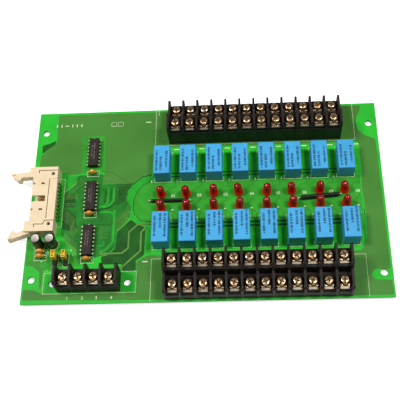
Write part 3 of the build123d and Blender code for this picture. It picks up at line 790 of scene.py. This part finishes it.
# Wide runs with their widths in mm: bright ones between darker areas, and dark ones between bright areas
BRIGHT_RUNS = (
    (1.5, ((48.8, 75.4), (48.9, 66.0), (46.8, 63.0), (43.4, 62.2))),
    (1.9, ((52.2, 75.4), (52.3, 66.4), (50.0, 63.6), (46.0, 61.6))),
    (1.6, ((44.2, 58.6), (50.4, 58.9), (53.0, 56.8))),
    (2.3, ((53.3, 60.0), (53.3, 38.4), (49.0, 33.4), (45.6, 32.3))),
    (1.1, ((47.6, 39.6), (48.3, 38.0), (47.0, 36.4), (44.4, 36.2))),
)
DARK_RUNS = (
    (1.7, ((42.6, 60.3), (49.9, 61.7), (54.6, 65.6), (61.2, 71.2))),
    (0.7, ((42.4, 50.4), (51.2, 50.2), (62.4, 61.2))),
    (0.35, ((44.2, 87.6), (47.4, 87.3), (50.6, 86.0), (54.4, 83.8), (57.8, 81.0), (60.6, 79.0),
            (64.4, 77.8))),
    (0.5, ((44.6, 77.7), (54.4, 77.7))),
    (0.95, ((54.0, 77.7), (64.6, 77.7), (69.9, 82.4), (75.8, 84.2))),
    (0.4, ((44.7, 74.6), (62.8, 74.6))),
    (1.1, ((46.9, 73.8), (46.9, 65.0))),
    (1.0, ((50.5, 73.8), (50.5, 65.4))),
    (0.8, ((53.9, 73.8), (53.9, 64.4))),
    (0.7, ((66.8, 55.9), (70.1, 52.3), (77.1, 51.4))),
    (0.7, ((75.8, 79.6), (70.5, 76.6), (67.0, 72.3), (65.0, 66.6), (64.9, 60.4), (66.4, 55.9))),
)
POWER_RUNS = (
    ((45.7, 31.0), (59.4, 31.2), (63.1, 34.6), (63.0, 44.8), (68.2, 49.8), (77.0, 50.4)),
    ((57.6, 20.2), (70.5, 32.4), (70.5, 44.4), (73.4, 48.2)),
)


def round_line(x, y, radius):
    """A closed round legend line."""
    return [(x + radius * math.cos(a), y + radius * math.sin(a)) for a in arc(0, 361, 18)]


def legend_lines():
    """Legend lines: outlines of the blocks, the header, the relays and the small parts."""
    lines = [
        [(20.6, 82.5), (20.6, 49.4)],
        [(17.0, 49.4), (20.6, 49.4)],
        [(18.0, 82.5), (20.6, 82.5)],
        [(77.5, 131.4), (77.5, 104.8), (205.3, 104.8), (205.3, 131.4)],
        [(77.3, 0.6), (77.4, 26.9), (205.0, 26.9), (205.0, 0.6)],
        box_line(12.9, 6.2, 68.7, 19.4),
        [(79.3, 131.0), (79.3, 127.6)],
        box_line(48.2, 120.6, 51.4, 123.6),
        box_line(52.6, 120.6, 55.8, 123.6),
    ]
    for x, y in relay_places():
        lines.append([(x - 5.5, y - 8.0), (x - 5.5, y - 10.5), (x + 5.5, y - 10.5), (x + 5.5, y - 8.0)])
        lines.append([(x - 5.5, y + 8.0), (x - 5.5, y + 10.5), (x + 5.5, y + 10.5), (x + 5.5, y + 8.0)])
    for low, high in (board_mm(box) for box in solids_of("ceramic_capacitors")):
        lines.append(box_line(low[0] - 1.6, low[1] - 0.7, high[0] + 1.6, high[1] + 0.7))
    for low, high in (board_mm(box) for box in solids_of("electrolytic_bungs")):
        lines.append(round_line((low[0] + high[0]) / 2, (low[1] + high[1]) / 2, 3.6))
    for low, high in (board_mm(box) for box in solids_of("jumper_bases")):
        lines.append(box_line(low[0] - 0.5, low[1] - 0.5, high[0] + 0.5, high[1] + 0.5))
    return lines


def legend_marks():
    """Short legend bars by the relays, over the chips and where a real board has lettering."""
    lines = [[(70.7, 122.9), (74.2, 123.0)], [(71.9, 25.3), (75.2, 25.3)]]
    lines += [[(x, 121.0), (x, 123.0)] for x in (12.0, 15.0, 22.2, 25.2, 28.2)]
    lines.append([(17.4, 122.0), (19.8, 122.0)])
    for x, y in relay_places():
        if y > 66:
            lines.append([(x - 7.3, y - 10.6), (x - 7.3, y - 8.9)])
            lines.append([(x + 6.4, y + 12.8), (x + 9.8, y + 12.8)])
        else:
            lines.append([(x + 5.6, y + 15.7), (x + 6.8, y + 15.7)])
    for name in CHIP_NODES:
        low, high = board_mm(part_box(name))
        middle = (low[0] + high[0]) / 2
        lines.append([(middle - 0.8, high[1] + 1.5), (middle + 0.8, high[1] + 1.5)])
    return lines


def board_mm(box):
    """The lowest and highest corner of a box in mm from the board's front left corner."""
    return [((corner.x - BOARD_LOW.x) / MM, (corner.y - BOARD_LOW.y) / MM) for corner in box]


def numeral(text, x, y, size):
    """A plain printed number, its height in mm."""
    deselect()
    bpy.ops.object.text_add()
    mark = bpy.context.object
    mark.data.body = text
    mark.data.size = size * 1.4 * MM
    mark.data.extrude = 0.01 * MM
    mark.data.align_x = "CENTER"
    mark.data.align_y = "CENTER"
    mark.data.offset = 0.02 * MM
    mark.data.resolution_u = 3
    bpy.ops.object.convert(target="MESH")
    mark = bpy.context.object
    mark.location = spot(x, y, 0.045)
    settle(mark)
    return mark


class RELAYBOARD_OT_board(bpy.types.Operator):
    """Model the board's copper planes and tracks under the mask"""

    bl_idname = "relayboard.board"
    bl_label = "Board"

    def add(self, piece, finish):
        finish_piece(piece, finish, "solder_mask")

    def execute(self, context):
        look = settings()
        track, rise = look.track_width / MM, look.copper_height / MM
        for name, outlines, top, radius, finish in (
            ("ground_plane", [GROUND_PLANE], 0.022, 1.2, "copper_mask"),
            ("supply_plane", [SUPPLY_PLANE], 0.022, 0.6, "copper_mask"),
            ("relay_field", [RELAY_FIELD, CHIP_WINDOW, CORNER_FIELD], 0.02, 0.8, "field_mask"),
            ("relay_gaps", [UPPER_GAPS, LOWER_GAPS], 0.018, 0.8, "gap_mask_painted_light"),
            ("driver_field", [DRIVER_FIELD], 0.016, 1.2, "middle_mask"),
            ("dark_areas", DARK_AREAS, 0.026, 1.0, "dark_mask"),
            ("bright_strips", STRIP_AREAS, 0.026, 0.8, "run_mask"),
            ("field_rim", [FIELD_RIM], 0.018, 0.8, "run_mask"),
        ):
            self.add(flat_areas(name, outlines, top, radius), finish)
        for name, runs, height, finish in (
            ("bright_runs", BRIGHT_RUNS, 0.03, "run_mask"),
            ("dark_runs", DARK_RUNS, 0.034, "dark_mask"),
        ):
            self.add(join([flat_lines("run", [run], width, height) for width, run in runs], name), finish)
        self.add(flat_lines("signal_tracks", signal_tracks(), track, rise + 0.006), "track_mask")
        self.add(flat_lines("field_tracks", field_tracks(), track * 1.5, rise), "middle_mask")
        self.add(flat_lines("power_tracks", POWER_RUNS, look.power_width / MM, rise + 0.004), "track_mask")
        rows = [[(77.6, y), (203.6, y)] for y in (84.5, 82.1, 49.8, 47.4)]
        self.add(flat_lines("row_gaps", rows, 1.25, 0.03), "dark_mask")
        return {"FINISHED"}


class RELAYBOARD_OT_legend(bpy.types.Operator):
    """Print the legend: outlines, ticks and plain numbers"""

    bl_idname = "relayboard.legend"
    bl_label = "Legend"

    def execute(self, context):
        width = settings().silk_width / MM
        pieces = [flat_lines("legend_lines", legend_lines(), width, 0.05)]
        pieces.append(flat_lines("legend_bars", legend_marks(), 0.85, 0.055))
        marks = [numeral(str(i + 1), x, 3.2, 1.9) for i, x in enumerate((28.0, 37.0, 45.4, 54.4))]
        columns = sorted(x for x, y in relay_places() if y > 66)
        marks += [numeral(f"{i + 1:02}", x + 6.6, 68.6, 1.9) for i, x in enumerate(columns)]
        small = ((14.4, 21.1), (14.0, 32.3), (10.3, 27.0), (28.0, 33.7), (29.3, 30.4))
        marks += [numeral(str(i + 1), x, y, 1.3) for i, (x, y) in enumerate(small)]
        pieces.append(join(marks, "legend_numbers"))
        for piece in pieces:
            finish_piece(piece, "legend_ink", "solder_mask")
        return {"FINISHED"}


# Relays: printing on the covers

def print_rows(name, columns, low, high, seed, glyph=(0.7, 1.5), gap=0.26):
    """Rows of plain blocks in place of print, along Y on a top face; all sizes in mm.
    A column is its place across the face from -1 to 1, and its start and end along it from 0 to 1."""
    draw = random.Random(seed)
    blocks = []
    middle, half = (low.x + high.x) / 2, (high.x - low.x) / 2
    for across, start, end in columns:
        y = low.y + start * (high.y - low.y)
        while y < low.y + end * (high.y - low.y):
            depth = draw.uniform(0.55, 1.0) * glyph[0] * MM
            wide = draw.choice((0.6, 0.9, 1.0, 1.0)) * glyph[1] * MM
            x = middle + across * half + draw.choice((-0.2, 0, 0.2)) * (glyph[1] * MM - wide)
            blocks.append((x - wide / 2, y, x + wide / 2, y + depth))
            y += depth + gap * MM * draw.choice((0.7, 1.0, 1.0, 2.4))
    mesh = bpy.data.meshes.new(name)
    corners, faces = [], []
    for x0, y0, x1, y1 in blocks:
        n = len(corners)
        corners += [(x0, y0, high.z), (x1, y0, high.z), (x1, y1, high.z), (x0, y1, high.z)]
        faces.append((n, n + 1, n + 2, n + 3))
    mesh.from_pydata(corners, [], faces)
    piece = link(name, mesh)
    enter(piece)
    bpy.ops.mesh.select_all(action="SELECT")
    bpy.ops.mesh.extrude_region_move(TRANSFORM_OT_translate={"value": (0, 0, 0.02 * MM)})
    bpy.ops.mesh.select_all(action="SELECT")
    bpy.ops.mesh.normals_make_consistent(inside=False)
    leave()
    return piece


class RELAYBOARD_OT_relays(bpy.types.Operator):
    """Print the relay covers with plain blocks"""

    bl_idname = "relayboard.relays"
    bl_label = "Relay printing"

    def execute(self, context):
        for i, name in enumerate(RELAY_NODES):
            low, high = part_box(name)
            columns = ((-0.62, 0.08, 0.84), (-0.1, 0.08, 0.56), (0.6, 0.2, 0.8))
            if low.y + high.y < 0:
                columns = ((-0.62, 0.18, 0.84), (0.05, 0.45, 0.92), (0.62, 0.16, 0.94))
            piece = print_rows(f"relay_print_{i + 1:02d}", columns, low, high, 40 + i)
            finish_piece(piece, "relay_print", "relay_plastic")
        return {"FINISHED"}


# Indicator lamps

# Leans to the right and to the back in degrees, then the rows' places and the lamps' shifts in mm
LAMP_LEANS = {
    "upper_lamps": ((-5, 5), (-4, 3), (-2, 8), (-6, 9), (3, 4), (-3, 6), (2, 8), (-4, 5)),
    "lower_lamps": ((-3, 4), (2, 2), (-2, 5), (4, 5), (-3, 3), (3, 6), (-2, 4), (3, 2)),
}
LAMP_ROWS = {"upper_lamps": 69.4, "lower_lamps": 60.2}
LAMP_SHIFTS = (-0.5, -1.3)


class RELAYBOARD_OT_lamps(bpy.types.Operator):
    """Model the round lamps, each leaning its own way"""

    bl_idname = "relayboard.lamps"
    bl_label = "Lamps"

    def execute(self, context):
        profile = [(0, 0.8), (2.75, 0.8), (2.9, 0.95), (2.9, 1.65), (2.78, 1.8), (2.5, 1.82), (2.5, 2.0)]
        profile += [(2.5, 4.0), (2.48, 6.3)]
        profile += [(2.46 * math.cos(a), 6.9 + 2.5 * math.sin(a)) for a in arc(0, 90, 10)]
        profile.append((0, 9.4))
        model = lathe("lamp", profile, 32)
        smooth(model, 40)
        columns = [x for x, y in relay_places() if y > 66]
        for node, leans in LAMP_LEANS.items():
            places = []
            for k, (x, (right, back)) in enumerate(zip(sorted(columns), leans)):
                places.append((spot(x + LAMP_SHIFTS[k % 2], LAMP_ROWS[node]), 0, (right, -back)))
            set_down(model, node.replace("lamps", "lamp_lenses"), places, "lamp_epoxy", "lamp_epoxy", node)
        remove(model)
        return {"FINISHED"}


# Terminal screws and clamp plates

SCREW_HEIGHT = 2.3 * MM
SHANK_LENGTH = 4.6 * MM
WASHER_TOP = 0.34 * MM


def cutter(low, high):
    return start_box("cutter", [v * MM for v in low], [v * MM for v in high])


def cut(piece, tool):
    apply(piece, "BOOLEAN", object=tool, operation="DIFFERENCE", solver="EXACT")
    remove(tool)


def model_screw(head, height, shank_length):
    """A pan head screw with a slot and a short cross recess, and with its washer; the head's underside is at
    zero. The washer and the slot floors take painted shade."""
    look = settings()
    r, h, depth = head / 2 / MM, height / MM, shank_length / MM
    profile = [(0, -depth), (1.25, -depth), (1.45, 0.3 - depth), (1.45, 0.0), (r + 0.45, 0.0)]
    profile += [(r + 0.45, 0.3), (r, 0.32), (r, h * 0.4)]
    for angle in arc(15, 90, 15):
        profile.append((r - 0.62 + 0.62 * math.cos(angle), h * 0.4 + (h * 0.6 - 0.1) * math.sin(angle)))
    profile += [(r * 0.55, h - 0.03), (0, h)]
    piece = lathe("screw", profile, 28)
    half, deep = look.slot_width / 2 / MM, look.slot_depth / MM
    floors = (h - deep, h - deep * 0.9)
    cut(piece, cutter((-r - 1, -half, floors[0]), (r + 1, half, h + 1)))
    cut(piece, cutter((-half, -r * 0.62, floors[1]), (half, r * 0.62, h + 1)))
    round_edges(piece, 0.06 * MM, 1, lambda edge: edge.calc_face_angle(0) > math.radians(50)
                and min(v.co.z for v in edge.verts) > 0.5 * MM)
    piece.data.materials.append(FINISH["screw_plate"])
    piece.data.materials.append(FINISH["screw_painted_shade"])
    # Painted shade on the washer and on the up-facing slot floors
    for face in piece.data.polygons:
        floor = any(abs(face.center.z - z * MM) < 0.02 * MM for z in floors)
        washer = face.center.z < WASHER_TOP
        face.material_index = int(washer or (floor and face.normal.z > 0.9))
    return smooth(piece, 35)


class RELAYBOARD_OT_screws(bpy.types.Operator):
    """Model the terminal screws, each turned its own way"""

    bl_idname = "relayboard.screws"
    bl_label = "Terminal screws"

    def execute(self, context):
        draw = random.Random(7)
        model = model_screw(settings().screw_head, SCREW_HEIGHT, SHANK_LENGTH)
        places = []
        for low, high in solids_of("terminal_screws"):
            middle = (low + high) / 2
            seat = Vector((middle.x, middle.y, high.z - SCREW_HEIGHT))
            places.append((seat, draw.uniform(0, 180), (draw.uniform(-2, 2), draw.uniform(-2, 2))))
        set_down(model, "screws", places, None, "screw_steel", "terminal_screws")
        remove(model)
        return {"FINISHED"}


class RELAYBOARD_OT_fixings(bpy.types.Operator):
    """Model a dark rivet in each of the header's two fixing holes, its dark finish being painted shade inside
    the hole
    """

    bl_idname = "relayboard.fixings"
    bl_label = "Header fixings"

    def execute(self, context):
        # Dark pieces in the holes, standing for the shade inside them
        profile = [(0, 0), (1.02, 0), (1.02, 6.6), (0.85, 6.9), (0.55, 6.8), (0.5, 5.2), (0, 5.0)]
        model = smooth(lathe("rivet", profile, 20), 35)
        places = [(spot(FIXING_X, HEADER_MIDDLE + side * FIXING_OFFSET, 0.3),) for side in (-1, 1)]
        set_down(model, "hole_shade_rivets", places, "screw_painted_shade", "screw_steel")
        remove(model)
        return {"FINISHED"}


class RELAYBOARD_OT_clamps(bpy.types.Operator):
    """Model the clamp plates under the screws"""

    bl_idname = "relayboard.clamps"
    bl_label = "Clamp plates"

    def execute(self, context):
        places = solids_of("clamp_plates")
        size = places[0][1] - places[0][0]
        size.x *= 0.9
        model = start_box("clamp", -size / 2, size / 2)
        enter(model)
        bpy.ops.mesh.select_all(action="SELECT")
        bpy.ops.mesh.subdivide(number_cuts=4)
        pick(model, "VERT", lambda v: abs(v.co.y) > size.y * 0.45)
        bpy.ops.transform.translate(value=(0, 0, 0.16 * MM))
        pick(model, "VERT", lambda v: abs(v.co.y) > size.y * 0.45 and abs(v.co.x) < size.x * 0.2)
        bpy.ops.transform.translate(value=(0, 0, -0.3 * MM))
        leave()
        round_edges(model, 0.12 * MM, 2, lambda edge: edge.calc_face_angle(0) > math.radians(50))
        smooth(model, 40)
        model.data.materials.append(FINISH["clamp_painted_shade"])
        model.data.materials.append(FINISH["clamp_plate"])
        # Painted shade on every face but the front of the top, whose corners by the screw head stay bright
        for face in model.data.polygons:
            face.material_index = int(face.normal.z > 0.6 and face.center.y < -0.3 * size.y)
        middles = [((low + high) / 2,) for low, high in places]
        set_down(model, "clamps", middles, None, "clamp_steel", "clamp_plates")
        remove(model)
        return {"FINISHED"}


# Chips: printing on the bodies

class RELAYBOARD_OT_chips(bpy.types.Operator):
    """Print the driver chips with plain blocks"""

    bl_idname = "relayboard.chips"
    bl_label = "Chip printing"

    def execute(self, context):
        for i, name in enumerate(CHIP_NODES):
            low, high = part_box(name)
            columns = ((-0.3, 0.3, 0.74), (0.16, 0.24, 0.8))
            piece = print_rows(f"chip_print_{i + 1}", columns, low, high, 90 + i, (0.45, 0.8), 0.35)
            finish_piece(piece, "chip_print", "chip_epoxy")
        return {"FINISHED"}


# Small parts of the header end

class RELAYBOARD_OT_ceramics(bpy.types.Operator):
    """Model the ceramic capacitors: a disc and the tops of its leads under one dipped coat"""

    bl_idname = "relayboard.ceramics"
    bl_label = "Ceramic capacitors"

    def execute(self, context):
        places = solids_of("ceramic_capacitors")
        size = (places[0][1] - places[0][0]) / MM
        radius, half = size.x / 2, size.y / 2
        profile = [(0, -half)]
        profile += [(radius * math.sin(a), -half * math.cos(a) ** 0.8) for a in arc(24, 84, 12)]
        profile += [(radius, 0)]
        profile += [(r, -h) for r, h in reversed(profile[:-1])]
        disc = lathe("ceramic", profile, 28)
        disc.data.transform(Matrix.Rotation(math.radians(90), 4, "X"))
        coats = []
        drip = [(0, -1.0), (0.3, -0.95), (0.42, -0.4), (0.5, 0.1), (0.3, 0.5), (0, 0.6)]
        for side in (-1, 1):
            drop = lathe("coat", drip, 12)
            coats.append(drop)
            drop.data.transform(Matrix.Translation((side * (radius + 0.12) * MM, 0, 0)))
        model = join([disc, *coats], "ceramic")
        apply(model, "REMESH", mode="VOXEL", voxel_size=0.13 * MM)
        apply(model, "SMOOTH", factor=0.5, iterations=6)
        smooth(model, 60)
        middles = [((low + high) / 2,) for low, high in places]
        set_down(model, "ceramic_discs", middles, "orange_dip", "orange_dip", "ceramic_capacitors")
        remove(model)
        return {"FINISHED"}


class RELAYBOARD_OT_electrolytics(bpy.types.Operator):
    """Model the electrolytic capacitors: scored cans, shrunk sleeves and their polarity bands"""

    bl_idname = "relayboard.electrolytics"
    bl_label = "Electrolytic capacitors"

    def execute(self, context):
        cans, sleeves = solids_of("electrolytic_cans"), solids_of("electrolytic_sleeves")
        base = cans[0][0].z
        tall, reach = (cans[0][1].z - base) / MM, (cans[0][1].x - cans[0][0].x) / 2 / MM
        cover, wide = (sleeves[0][1].z - base) / MM, (sleeves[0][1].x - sleeves[0][0].x) / 2 / MM
        wall = reach - 0.05
        shell = [(0, 0.02), (reach - 0.2, 0.02), (wall, 0.2), (wall, 1.3), (reach - 0.3, 1.65), (wall, 2.0)]
        shell += [(wall, tall - 0.6), (reach - 0.2, tall - 0.15), (reach - 0.55, tall)]
        shell += [(reach - 0.8, tall - 0.06), (0, tall - 0.1)]
        can = lathe("can", shell, 40)
        for turn in (45, 135):
            groove = cutter((-2.1, -0.1, tall - 0.25), (2.1, 0.1, tall + 1))
            groove.data.transform(Matrix.Rotation(math.radians(turn), 4, "Z"))
            cut(can, groove)
        smooth(can, 30)
        film = [(wide - 0.13, 0.0), (wide, 0.0), (wide, 1.15), (wide - 0.24, 1.65), (wide, 2.15)]
        film += [(wide - inset, cover - drop) for inset, drop in (
            (0, 0.75), (0.1, 0.3), (0.32, 0.06), (0.56, 0), (0.68, 0.05), (0.66, 0.13), (0.36, 0.22),
            (0.14, 0.8))]
        film += [(wide - 0.13, 2.15), (wide - 0.32, 1.65), (wide - 0.13, 1.2)]
        sleeve = smooth(lathe("sleeve", film, 40, closed=True), 50)
        band = lathe("band", [(wide - 0.01, 2.3), (wide + 0.012, 2.3), (wide + 0.012, cover - 0.85),
                              (wide - 0.01, cover - 0.85)], 9, closed=True, sweep=72)
        feet = [Vector(((low.x + high.x) / 2, (low.y + high.y) / 2, base)) for low, high in cans]
        for model, name, turn, step, finish, slot, *nodes in (
            (can, "capacitor_cans", 20, 50, "can_metal", "can_aluminium", "electrolytic_cans"),
            (sleeve, "capacitor_sleeves", 0, 0, "sleeve_film", "shrink_sleeve", "electrolytic_sleeves"),
            (band, "polarity_bands", 130, -25, "sleeve_stripe", "shrink_sleeve"),
        ):
            places = [(foot, turn + step * k) for k, foot in enumerate(feet)]
            set_down(model, name, places, finish, slot, *nodes)
        remove(can, sleeve, band)
        return {"FINISHED"}


class RELAYBOARD_OT_shunts(bpy.types.Operator):
    """Model the jumper shunts: a moulded box with a top well, a test slot and rounded edges"""

    bl_idname = "relayboard.shunts"
    bl_label = "Jumper shunts"

    def execute(self, context):
        places = solids_of("jumper_shunts")
        size = places[0][1] - places[0][0]
        model = start_box("shunt", -size / 2, size / 2)
        enter(model)
        pick(model, "FACE", lambda face: face.normal.z > 0.9)
        bpy.ops.mesh.inset(thickness=0.42 * MM, depth=0)
        bpy.ops.mesh.extrude_region_move(TRANSFORM_OT_translate={"value": (0, 0, -1.3 * MM)})
        for side in (-1, 1):
            pick(model, "FACE", lambda face: face.normal.y * side > 0.9 and abs(face.calc_center_median().y) >
                 size.y * 0.49)
            bpy.ops.mesh.inset(thickness=0.55 * MM, depth=0)
            bpy.ops.mesh.inset(thickness=0.1 * MM, depth=-0.18 * MM)
        leave()

        def outside(vertex):
            return abs(vertex.co.x) > size.x * 0.49 or abs(vertex.co.y) > size.y * 0.49

        round_edges(model, 0.16 * MM, 2, lambda edge: edge.calc_face_angle(0) > math.radians(60)
                    and all(outside(vertex) for vertex in edge.verts))
        smooth(model, 40)
        middles = [((low + high) / 2, 180 * k) for k, (low, high) in enumerate(places)]
        set_down(model, "shunts", middles, "shunt_moulding", "shunt_plastic", "jumper_shunts")
        remove(model)
        return {"FINISHED"}


class RELAYBOARD_OT_links(bpy.types.Operator):
    """Model the link sleeves: cut lengths of tube, their outsides rippling slightly along their wires"""

    bl_idname = "relayboard.links"
    bl_label = "Link sleeves"

    def execute(self, context):
        for k, ((low, high), rising) in enumerate(zip(solids_of("link_sleeves"), (0, 1))):
            outer, bore = (high.z - low.z) / 2 / MM * (1.08, 1.35)[rising], 0.42
            run = Vector((high.x - low.x, (high.y - low.y - 2.2 * MM) * rising, 0))
            half = run.length / 2 / MM
            profile = [(bore, -half), (outer - 0.12, -half), (outer, -half + 0.12)]
            steps = [i / 8 - 0.875 for i in range(15)]
            profile += [(outer + 0.03 * math.sin(7 * t), half * t) for t in steps]
            profile += [(outer, half - 0.12), (outer - 0.12, half), (bore, half)]
            tube = lathe("tube", profile, 20, closed=True)
            tube.data.transform(Matrix.Rotation(math.radians(90), 4, "Y"))
            tube.data.transform(Matrix.Rotation(math.atan2(run.y, run.x), 4, "Z"))
            middle = (low + high) / 2
            middle.z = low.z + outer * MM
            tube.data.transform(Matrix.Translation(middle))
            smooth(tube, 50)
            tube.name = f"link_tube_{k + 1}"
            finish_piece(tube, "sleeve_black", "link_insulation", "link_sleeves")
        return {"FINISHED"}


# Solder joints under the board

SOLDERED = (
    "header_pins", "chip_leads", "ceramic_leads", "electrolytic_leads", "jumper_pins", "relay_pins",
    "lamp_leads", "link_wires", "upper_terminals", "lower_terminals", "supply_terminals",
)


class RELAYBOARD_OT_solder(bpy.types.Operator):
    """Model the solder joints round the leads under the board and the tinned pads on its top"""

    bl_idname = "relayboard.solder"
    bl_label = "Solder joints"

    def execute(self, context):
        cone = [(0, -1.15), (0.38, -1.1), (0.48, -0.75), (0.66, -0.35), (0.98, -0.02), (0.98, 0.0), (0, 0.0)]
        joint = smooth(lathe("joint", cone, 10), 60)
        rim = [(0, 0.2), (0.38, 0.19), (0.5, 0.09), (0.7, 0.055), (0.74, 0.0), (0, 0.0)]
        pad = smooth(lathe("pad", rim, 14), 60)
        joints, pads = [], []
        for node in SOLDERED:
            for foot in feet_of(node):
                joints.append((Vector((foot.x, foot.y, BOARD_LOW.z)),))
                if node in ("ceramic_leads", "lamp_leads", "link_wires"):
                    pads.append((Vector((foot.x, foot.y, BOARD_HIGH.z)),))
        set_down(joint, "solder_joints", joints, "solder", "tinned_lead")
        set_down(pad, "top_pads", pads, "solder", "tinned_lead")
        remove(joint, pad)
        return {"FINISHED"}


# Stage

# Names, places, widths in metres and power in watts
LIGHTS = (("left_lamp", (-0.8, 0.1, 1.4), 0.4, 14.6), ("right_lamp", (0.62, 0.06, 1.45), 0.34, 11.4))
CAMERA_PLACE = (0.0291, -0.2076, 0.4311)
CAMERA_TURN = (26.5385, 3.4206, -0.1492)
CAMERA_LENS = 69.27
CAMERA_SHIFT = -0.03


class RELAYBOARD_OT_stage(bpy.types.Operator):
    """Set the floor, the light and the camera"""

    bl_idname = "relayboard.stage"
    bl_label = "Stage"

    def execute(self, context):
        scene = context.scene
        scene.view_settings.view_transform = "Standard"
        self.add_floor()
        self.add_world(scene)
        for name, place, size, power in LIGHTS:
            self.add_light(name, place, size, power)
        self.add_camera(scene)
        return {"FINISHED"}

    def add_floor(self):
        """A floor that looks white to the camera and keeps the board's shadow."""
        deselect()
        bpy.ops.mesh.primitive_plane_add(size=6, location=(0, 0, CAD_BOX[0].z - 0.02 * MM))
        floor = bpy.context.object
        floor.name = "floor"
        settle(floor)
        finish = Finish("floor", Base_Color=(0.8, 0.8, 0.8, 1), Roughness=0.9, Specular_IOR_Level=0.0)
        lift = finish.sums(finish.camera_ray(), ("MULTIPLY", 0.7))
        finish.set(Emission_Color=(1, 1, 1, 1), Emission_Strength=lift)
        floor.data.materials.append(finish.material)

    def add_world(self, scene):
        world = bpy.data.worlds.new("studio")
        scene.world = world
        world.use_nodes = True
        nodes = Nodes(world.node_tree)
        background = world.node_tree.nodes["Background"]
        background.inputs["Color"].default_value = (1, 1, 1, 1)
        nodes.feed(background.inputs["Strength"], nodes.spread(nodes.camera_ray(), 0.2, 1.0, 0.0, 1.0))

    def add_light(self, name, place, size, power):
        light = bpy.data.lights.new(name, "AREA")
        light.shape = "SQUARE"
        light.size = size
        light.energy = power
        lamp = link(name, light)
        lamp.location = place
        lamp.rotation_euler = (-Vector(place)).to_track_quat("-Z", "Y").to_euler()

    def add_camera(self, scene):
        lens = bpy.data.cameras.new("camera")
        lens.sensor_width = 36
        lens.lens = CAMERA_LENS
        lens.shift_x = CAMERA_SHIFT
        lens.shift_y = CAMERA_SHIFT
        camera = link("camera", lens)
        camera.location = CAMERA_PLACE
        camera.rotation_euler = [math.radians(angle) for angle in CAMERA_TURN]
        scene.camera = camera


CLASSES = (
    RelayBoardSettings, RELAYBOARD_OT_finishes, RELAYBOARD_OT_board, RELAYBOARD_OT_legend,
    RELAYBOARD_OT_relays, RELAYBOARD_OT_lamps, RELAYBOARD_OT_screws, RELAYBOARD_OT_clamps,
    RELAYBOARD_OT_fixings, RELAYBOARD_OT_chips, RELAYBOARD_OT_ceramics, RELAYBOARD_OT_electrolytics,
    RELAYBOARD_OT_shunts, RELAYBOARD_OT_links, RELAYBOARD_OT_solder, RELAYBOARD_OT_stage,
)
OPERATORS = tuple(one for one in CLASSES if issubclass(one, bpy.types.Operator))


class RELAYBOARD_PT_panel(bpy.types.Panel):
    """Lists the board's pieces and settings"""

    bl_idname = "RELAYBOARD_PT_panel"
    bl_label = "Relay board"
    bl_space_type = "VIEW_3D"
    bl_region_type = "UI"
    bl_category = "Relay board"

    def draw(self, context):
        for name in RelayBoardSettings.__annotations__:
            self.layout.prop(context.scene.relay_board, name)
        for operator in OPERATORS:
            self.layout.operator(operator.bl_idname)


def register():
    for one in (*CLASSES, RELAYBOARD_PT_panel):
        bpy.utils.register_class(one)
    bpy.types.Scene.relay_board = bpy.props.PointerProperty(type=RelayBoardSettings)


def unregister():
    del bpy.types.Scene.relay_board
    for one in reversed((*CLASSES, RELAYBOARD_PT_panel)):
        bpy.utils.unregister_class(one)


def main():
    register()
    for operator in OPERATORS:
        family, name = operator.bl_idname.split(".")
        getattr(getattr(bpy.ops, family), name)()


if __name__ == "__main__":
    main()
